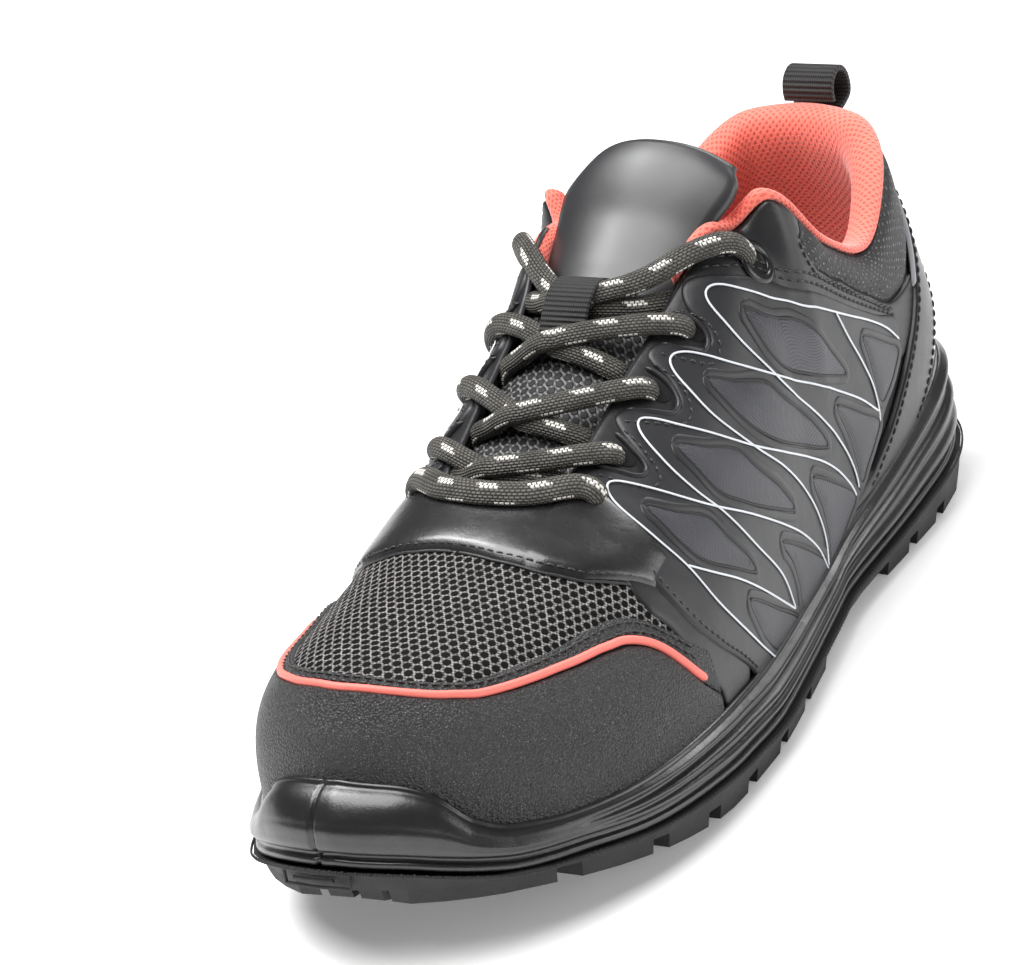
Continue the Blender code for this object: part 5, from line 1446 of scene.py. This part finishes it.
# ---- Pull loop
# Ribbed webbing bent over in a loop that stands up at the top of the heel, for a finger to
# pull the shoe on by. It is sewn down behind the heel's edge.
rim_spot = skin(np.array([0.0]), np.array([1.0]))[0]
middle = [(1.0, rim_spot[1] + 1.2 - a * 13.4, rim_spot[2] - 1.2 + b * 13.0) for a, b in
          ((0.11, 0.40), (0.12, 0.62), (0.02, 0.86), (-0.24, 1.0), (-0.50, 0.9), (-0.63, 0.62),
           (-0.56, 0.28))]
for up_to in (0.985, 0.95, 0.91, 0.87):
    middle.append(tuple(layer(np.array([0.0]), np.array([up_to]), np.array([2.9]))[0]))
strap_of("heel_pull", np.array(middle), (1, 0, 0), 16.0, 1.8, webbing_finish,
         stands_for=("pull_loop",), slot="webbing_black")

# ---- Eyelets
# A black ring on each side at the top of the throat; below it the lace goes through slots
# in the pockets. Each hole, in a ring or a pocket, is a near-black disc of painted shade.
HOLES = [(0.652, 25), (0.607, 26), (0.541, 27), (0.474, 28.5)]
RINGS = {1: (0.392, 34), -1: (0.394, 31)}
metal = Paint("ring_black")
# mm: a ring's middle radius, half its width and height, and half of a hole's length and width
RING_RADIUS, RING_WIRE, RING_HIGH = 5.3, 1.5, 0.9
HOLE_LONG, HOLE_WIDE = 4.2, 2.7
ROUND = 48
ring_finish = metal.done((0.015, 0.015, 0.016), 0.25, metal.noise(600.0), 0.05, metallic=0.3,
                         coat=0.3)
# The holes are near-black discs: painted shade inside the openings.
dark = Paint("hole_painted_shade")
fan = [[ROUND, j, (j + 1) % ROUND] for j in range(ROUND)]
hole_shade_finish = dark.done((0.001, 0.001, 0.001), 0.95)
for side, (share, mm) in RINGS.items():
    name = "lateral" if side > 0 else "medial"
    height = height_across(share, side, mm)
    way = np.array([share if side > 0 else 2 - share])
    centre = layer(way, height, np.array([1.3]))[0]
    n = outward(way, height)[0]
    first = np.cross(n, (0, 0, 1.0))
    first = first / np.linalg.norm(first)
    second = np.cross(n, first)
    turn = np.linspace(0, 2 * np.pi, ROUND, endpoint=False)
    away = first * np.cos(turn)[:, None] + second * np.sin(turn)[:, None]
    lean = np.linspace(0, 2 * np.pi, 12, endpoint=False)
    points = (centre + away[:, None] * (RING_RADIUS + RING_WIRE * np.cos(lean))[None, :, None]
              + n * (RING_HIGH * np.sin(lean))[None, :, None])
    make("ring_" + name, points, grid_faces(ROUND, 12, True, True), ring_finish,
         stands_for=("eyelet_ring_" + name,), slot="ring_black")
    disc = np.vstack([centre + away * HOLE_LONG, centre[None]]) - n * 0.1
    make("ring_hole_" + name, disc, fan, hole_shade_finish,
         slot="ring_black")
    for n_hole, (share, mm) in enumerate(HOLES):
        height = height_across(share, side, mm + 1.5)
        way = np.array([share if side > 0 else 2 - share])
        centre = layer(way, height, np.array([1.35]))[0]
        n = outward(way, height)[0]
        first = np.cross(n, (0, 1.0, 0))
        first = first / np.linalg.norm(first)
        second = np.cross(n, first)
        disc = (centre + first * np.cos(turn)[:, None] * HOLE_LONG
                + second * np.sin(turn)[:, None] * HOLE_WIDE)
        disc = np.vstack([disc, centre[None]])
        make("lace_hole_%s_%d" % (name, n_hole + 1), disc,
             fan, hole_shade_finish, slot="lace_black")

# ---- Lace
# Round braided cord, black with light flecks: a bar across the bottom and four crossings.
# Each strand comes up from under the eyestay and goes down through the next hole; the
# strands that end on the outer side lie on top.
braid = Paint("lace_black")
u, v = braid.flat()
turn_count = u * 22.0
row = turn_count.whole()
odd = (row * 0.5).fraction() * 2.0
cell = v / 1.35 + odd * 0.5
across = ((turn_count.fraction() - 0.5) * 2.0).size()
along = ((cell.fraction() - 0.5) * 2.0).size()
plump = (1.0 - across * across) * (1.0 - along ** 4.0)
fleck = ((v / 14.0 + row * 0.07).fraction() < 0.4) * (((row + 1.0) / 6.0).fraction() < 0.3)
fleck = fleck * (cell.fraction() > 0.25)
tone = braid.noise(240.0, 2.0)
# Each braid cell is painted lighter on its bulge and near-black in the gaps between cells: painted
# highlight and painted shade. The light flecks are the cord's own colour.
lace_colour = braid.mix(plump * tone * 1.5, (0.003, 0.003, 0.003), (0.15, 0.14, 0.12))
lace_colour = braid.mix(fleck, lace_colour, (0.8, 0.78, 0.72))
lace_finish = braid.done(lace_colour, 0.6, plump, 0.5)


def lace_at(places):
    """A smooth line through (share, mm across, lift) and the directions away from the foot."""
    places = through(np.array(places, float), 110)
    path = over(places[:, 0], places[:, 1], places[:, 2])
    above = over(places[:, 0], places[:, 1], places[:, 2] + 1.0)
    for _ in range(3):
        path[1:-1] = 0.25 * path[:-2] + 0.5 * path[1:-1] + 0.25 * path[2:]
    path = even(path, 0.8)
    above = even(above, 0.8)
    away = through(above, len(path)) - path
    return path, unit(away)


# half the width and half the height of the bar and of a crossing strand, mm
BAR_HALF, LACE_HALF = (3.9, 2.4), (3.2, 2.6)
share, mm = HOLES[0]
bar = [(share, -mm - 2.4, -0.4), (share, -mm - 1.7, 2.4), (share + 0.006, -mm + 2.5, 4.1),
       (share + 0.032, -12, 4.1), (share + 0.04, 0, 4.1), (share + 0.032, 12, 4.1),
       (share + 0.006, mm - 2.5, 4.1), (share, mm + 1.7, 2.4), (share, mm + 2.4, -0.4)]
path, away = lace_at(bar)
cord_along("lace_bar_cord", path, away, *BAR_HALF, lace_finish, stands_for=("lace_bar",),
           slot="lace_black")
# how far the middle of each crossing is drawn forward, as a share of the length
DRAWN = [0.028, 0.026, 0.02, 0.052]
for k in range(4):
    bow = DRAWN[k]
    share = HOLES[k][0]
    within_throat = float(table(THROAT, HOLES[k][0])) * HALF_WIDTH - 3.0
    for side in (1, -1):
        goal = (HOLES[k + 1] if k < 3 else RINGS[-side])
        over_top = side < 0
        middle_lift = 3.5 if over_top else -0.2
        high = 3.9 if k < 3 else 4.4
        s0, a0 = share, side * within_throat
        s1, a1 = goal[0], -side * (goal[1] + (1.2 if k < 3 else 0.0))

        def between(f, lift):
            return (s0 + (s1 - s0) * f + bow * 4 * f * (1 - f), a0 + (a1 - a0) * f, lift)

        places = [between(-0.08, -4.2), between(-0.02, -2.0), between(0.12, -0.6),
                  between(0.32, middle_lift * 0.8), between(0.5, middle_lift),
                  between(0.68, middle_lift * 0.5 + high * 0.5), between(0.84, high),
                  between(0.93, high * 0.9), between(0.975, 1.8), between(0.985, -0.6)]
        path, away = lace_at(places)
        stands = ("lace_cross_%d" % (k + 1),) if side > 0 else ()
        cord_along("lace_%d_%s" % (k + 1, "a" if side > 0 else "b"), path, away, *LACE_HALF,
                   lace_finish, stands_for=stands, slot="lace_black")

# ---- Insole
# Dark cloth over foam, cut to the inside of the upper and laid on the midsole. Only its
# heel end is seen, through the collar, so the solid is shown as it is.
bed = Paint("insole_grey")
bed_finish = bed.done((0.035, 0.035, 0.038), 0.9, bed.noise(1500.0), 0.2)
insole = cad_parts["insole"]
insole.data.materials.clear()
insole.data.materials.append(bed_finish)

# ---- Studio
# White floor, a large soft light above the toe, a small one above the inner side for the
# glints, a strip light along the outer side and one behind the heel, and the photograph's
# camera.
ground = Paint("floor_white")
floor_finish = ground.done((0.94, 0.94, 0.94), 0.6, specular=0.2)
ground.shader.inputs["Emission Color"].default_value = (1.0, 1.0, 1.0, 1.0)
ground.shader.inputs["Emission Strength"].default_value = 0.2
data = bpy.data.meshes.new("floor")
wide = 4.0
data.from_pydata([(-wide, -wide, 0), (wide, -wide, 0), (wide, wide, 0), (-wide, wide, 0)], [],
                 [(0, 1, 2, 3)])
data.materials.append(floor_finish)
floor = bpy.data.objects.new("floor", data)
bpy.context.scene.collection.objects.link(floor)
floor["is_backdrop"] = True
world = bpy.data.worlds.new("studio")
bpy.context.scene.world = world
world.use_nodes = True
world.node_tree.nodes["Background"].inputs["Color"].default_value = (1.0, 1.0, 1.0, 1.0)
world.node_tree.nodes["Background"].inputs["Strength"].default_value = 0.15


def soft_light(name, place, aim, size, watts):
    lamp = bpy.data.lights.new(name, "AREA")
    lamp.shape = "RECTANGLE"
    lamp.size, lamp.size_y = size
    lamp.energy = watts
    made = bpy.data.objects.new(name, lamp)
    made.location = place
    away = Vector(place) - Vector(aim)
    made.rotation_euler = away.to_track_quat("Z", "Y").to_euler()
    bpy.context.scene.collection.objects.link(made)


soft_light("overhead", (-0.15, -0.3, 1.15), (0, 0, 0.05), (1.0, 0.9), 20.0)
soft_light("glint", (-0.6, 0.0, 1.0), (0, 0, 0.07), (0.4, 0.4), 7.0)
soft_light("side", (1.2, 0.4, 0.35), (0, 0, 0.05), (1.1, 0.5), 6.0)
soft_light("back", (0.1, 1.0, 0.9), (0, 0.05, 0.08), (0.9, 0.4), 8.0)
AZIMUTH, ELEVATION, ROLL = 33.8, 25.0, -11.6
DISTANCE = 1675.0
PIXELS = 3.687
# the picture's size, and where in it the aim lies
PICTURE, AIM_AT = (1024, 965), (610, 496)
a, e, r = (math.radians(v) for v in (AZIMUTH, ELEVATION, ROLL))
back = np.array([math.sin(a) * math.cos(e), -math.cos(a) * math.cos(e), math.sin(e)])
right = np.cross((0, 0, 1.0), back)
right = right / np.linalg.norm(right)
upward = np.cross(back, right)
across = math.cos(r) * right + math.sin(r) * upward
above = -math.sin(r) * right + math.cos(r) * upward
aim = np.array([-0.286, 1.07, 60.0])
shift_x = (AIM_AT[0] - PICTURE[0] / 2) / PIXELS
shift_y = -(AIM_AT[1] - PICTURE[1] / 2) / PIXELS
eye = aim + back * DISTANCE - across * shift_x - above * shift_y
lens = bpy.data.cameras.new("camera")
lens.sensor_width = 36.0
lens.lens = lens.sensor_width * PIXELS * DISTANCE / PICTURE[0]
lens.clip_start = 0.05
lens.clip_end = 20.0
camera = bpy.data.objects.new("camera", lens)
bpy.context.scene.collection.objects.link(camera)
turned = np.stack([across, above, back, eye * MM], 1)
camera.matrix_world = Matrix(turned.tolist() + [[0, 0, 0, 1]])
bpy.context.scene.camera = camera
bpy.context.scene.view_settings.view_transform = "Standard"

low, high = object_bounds()
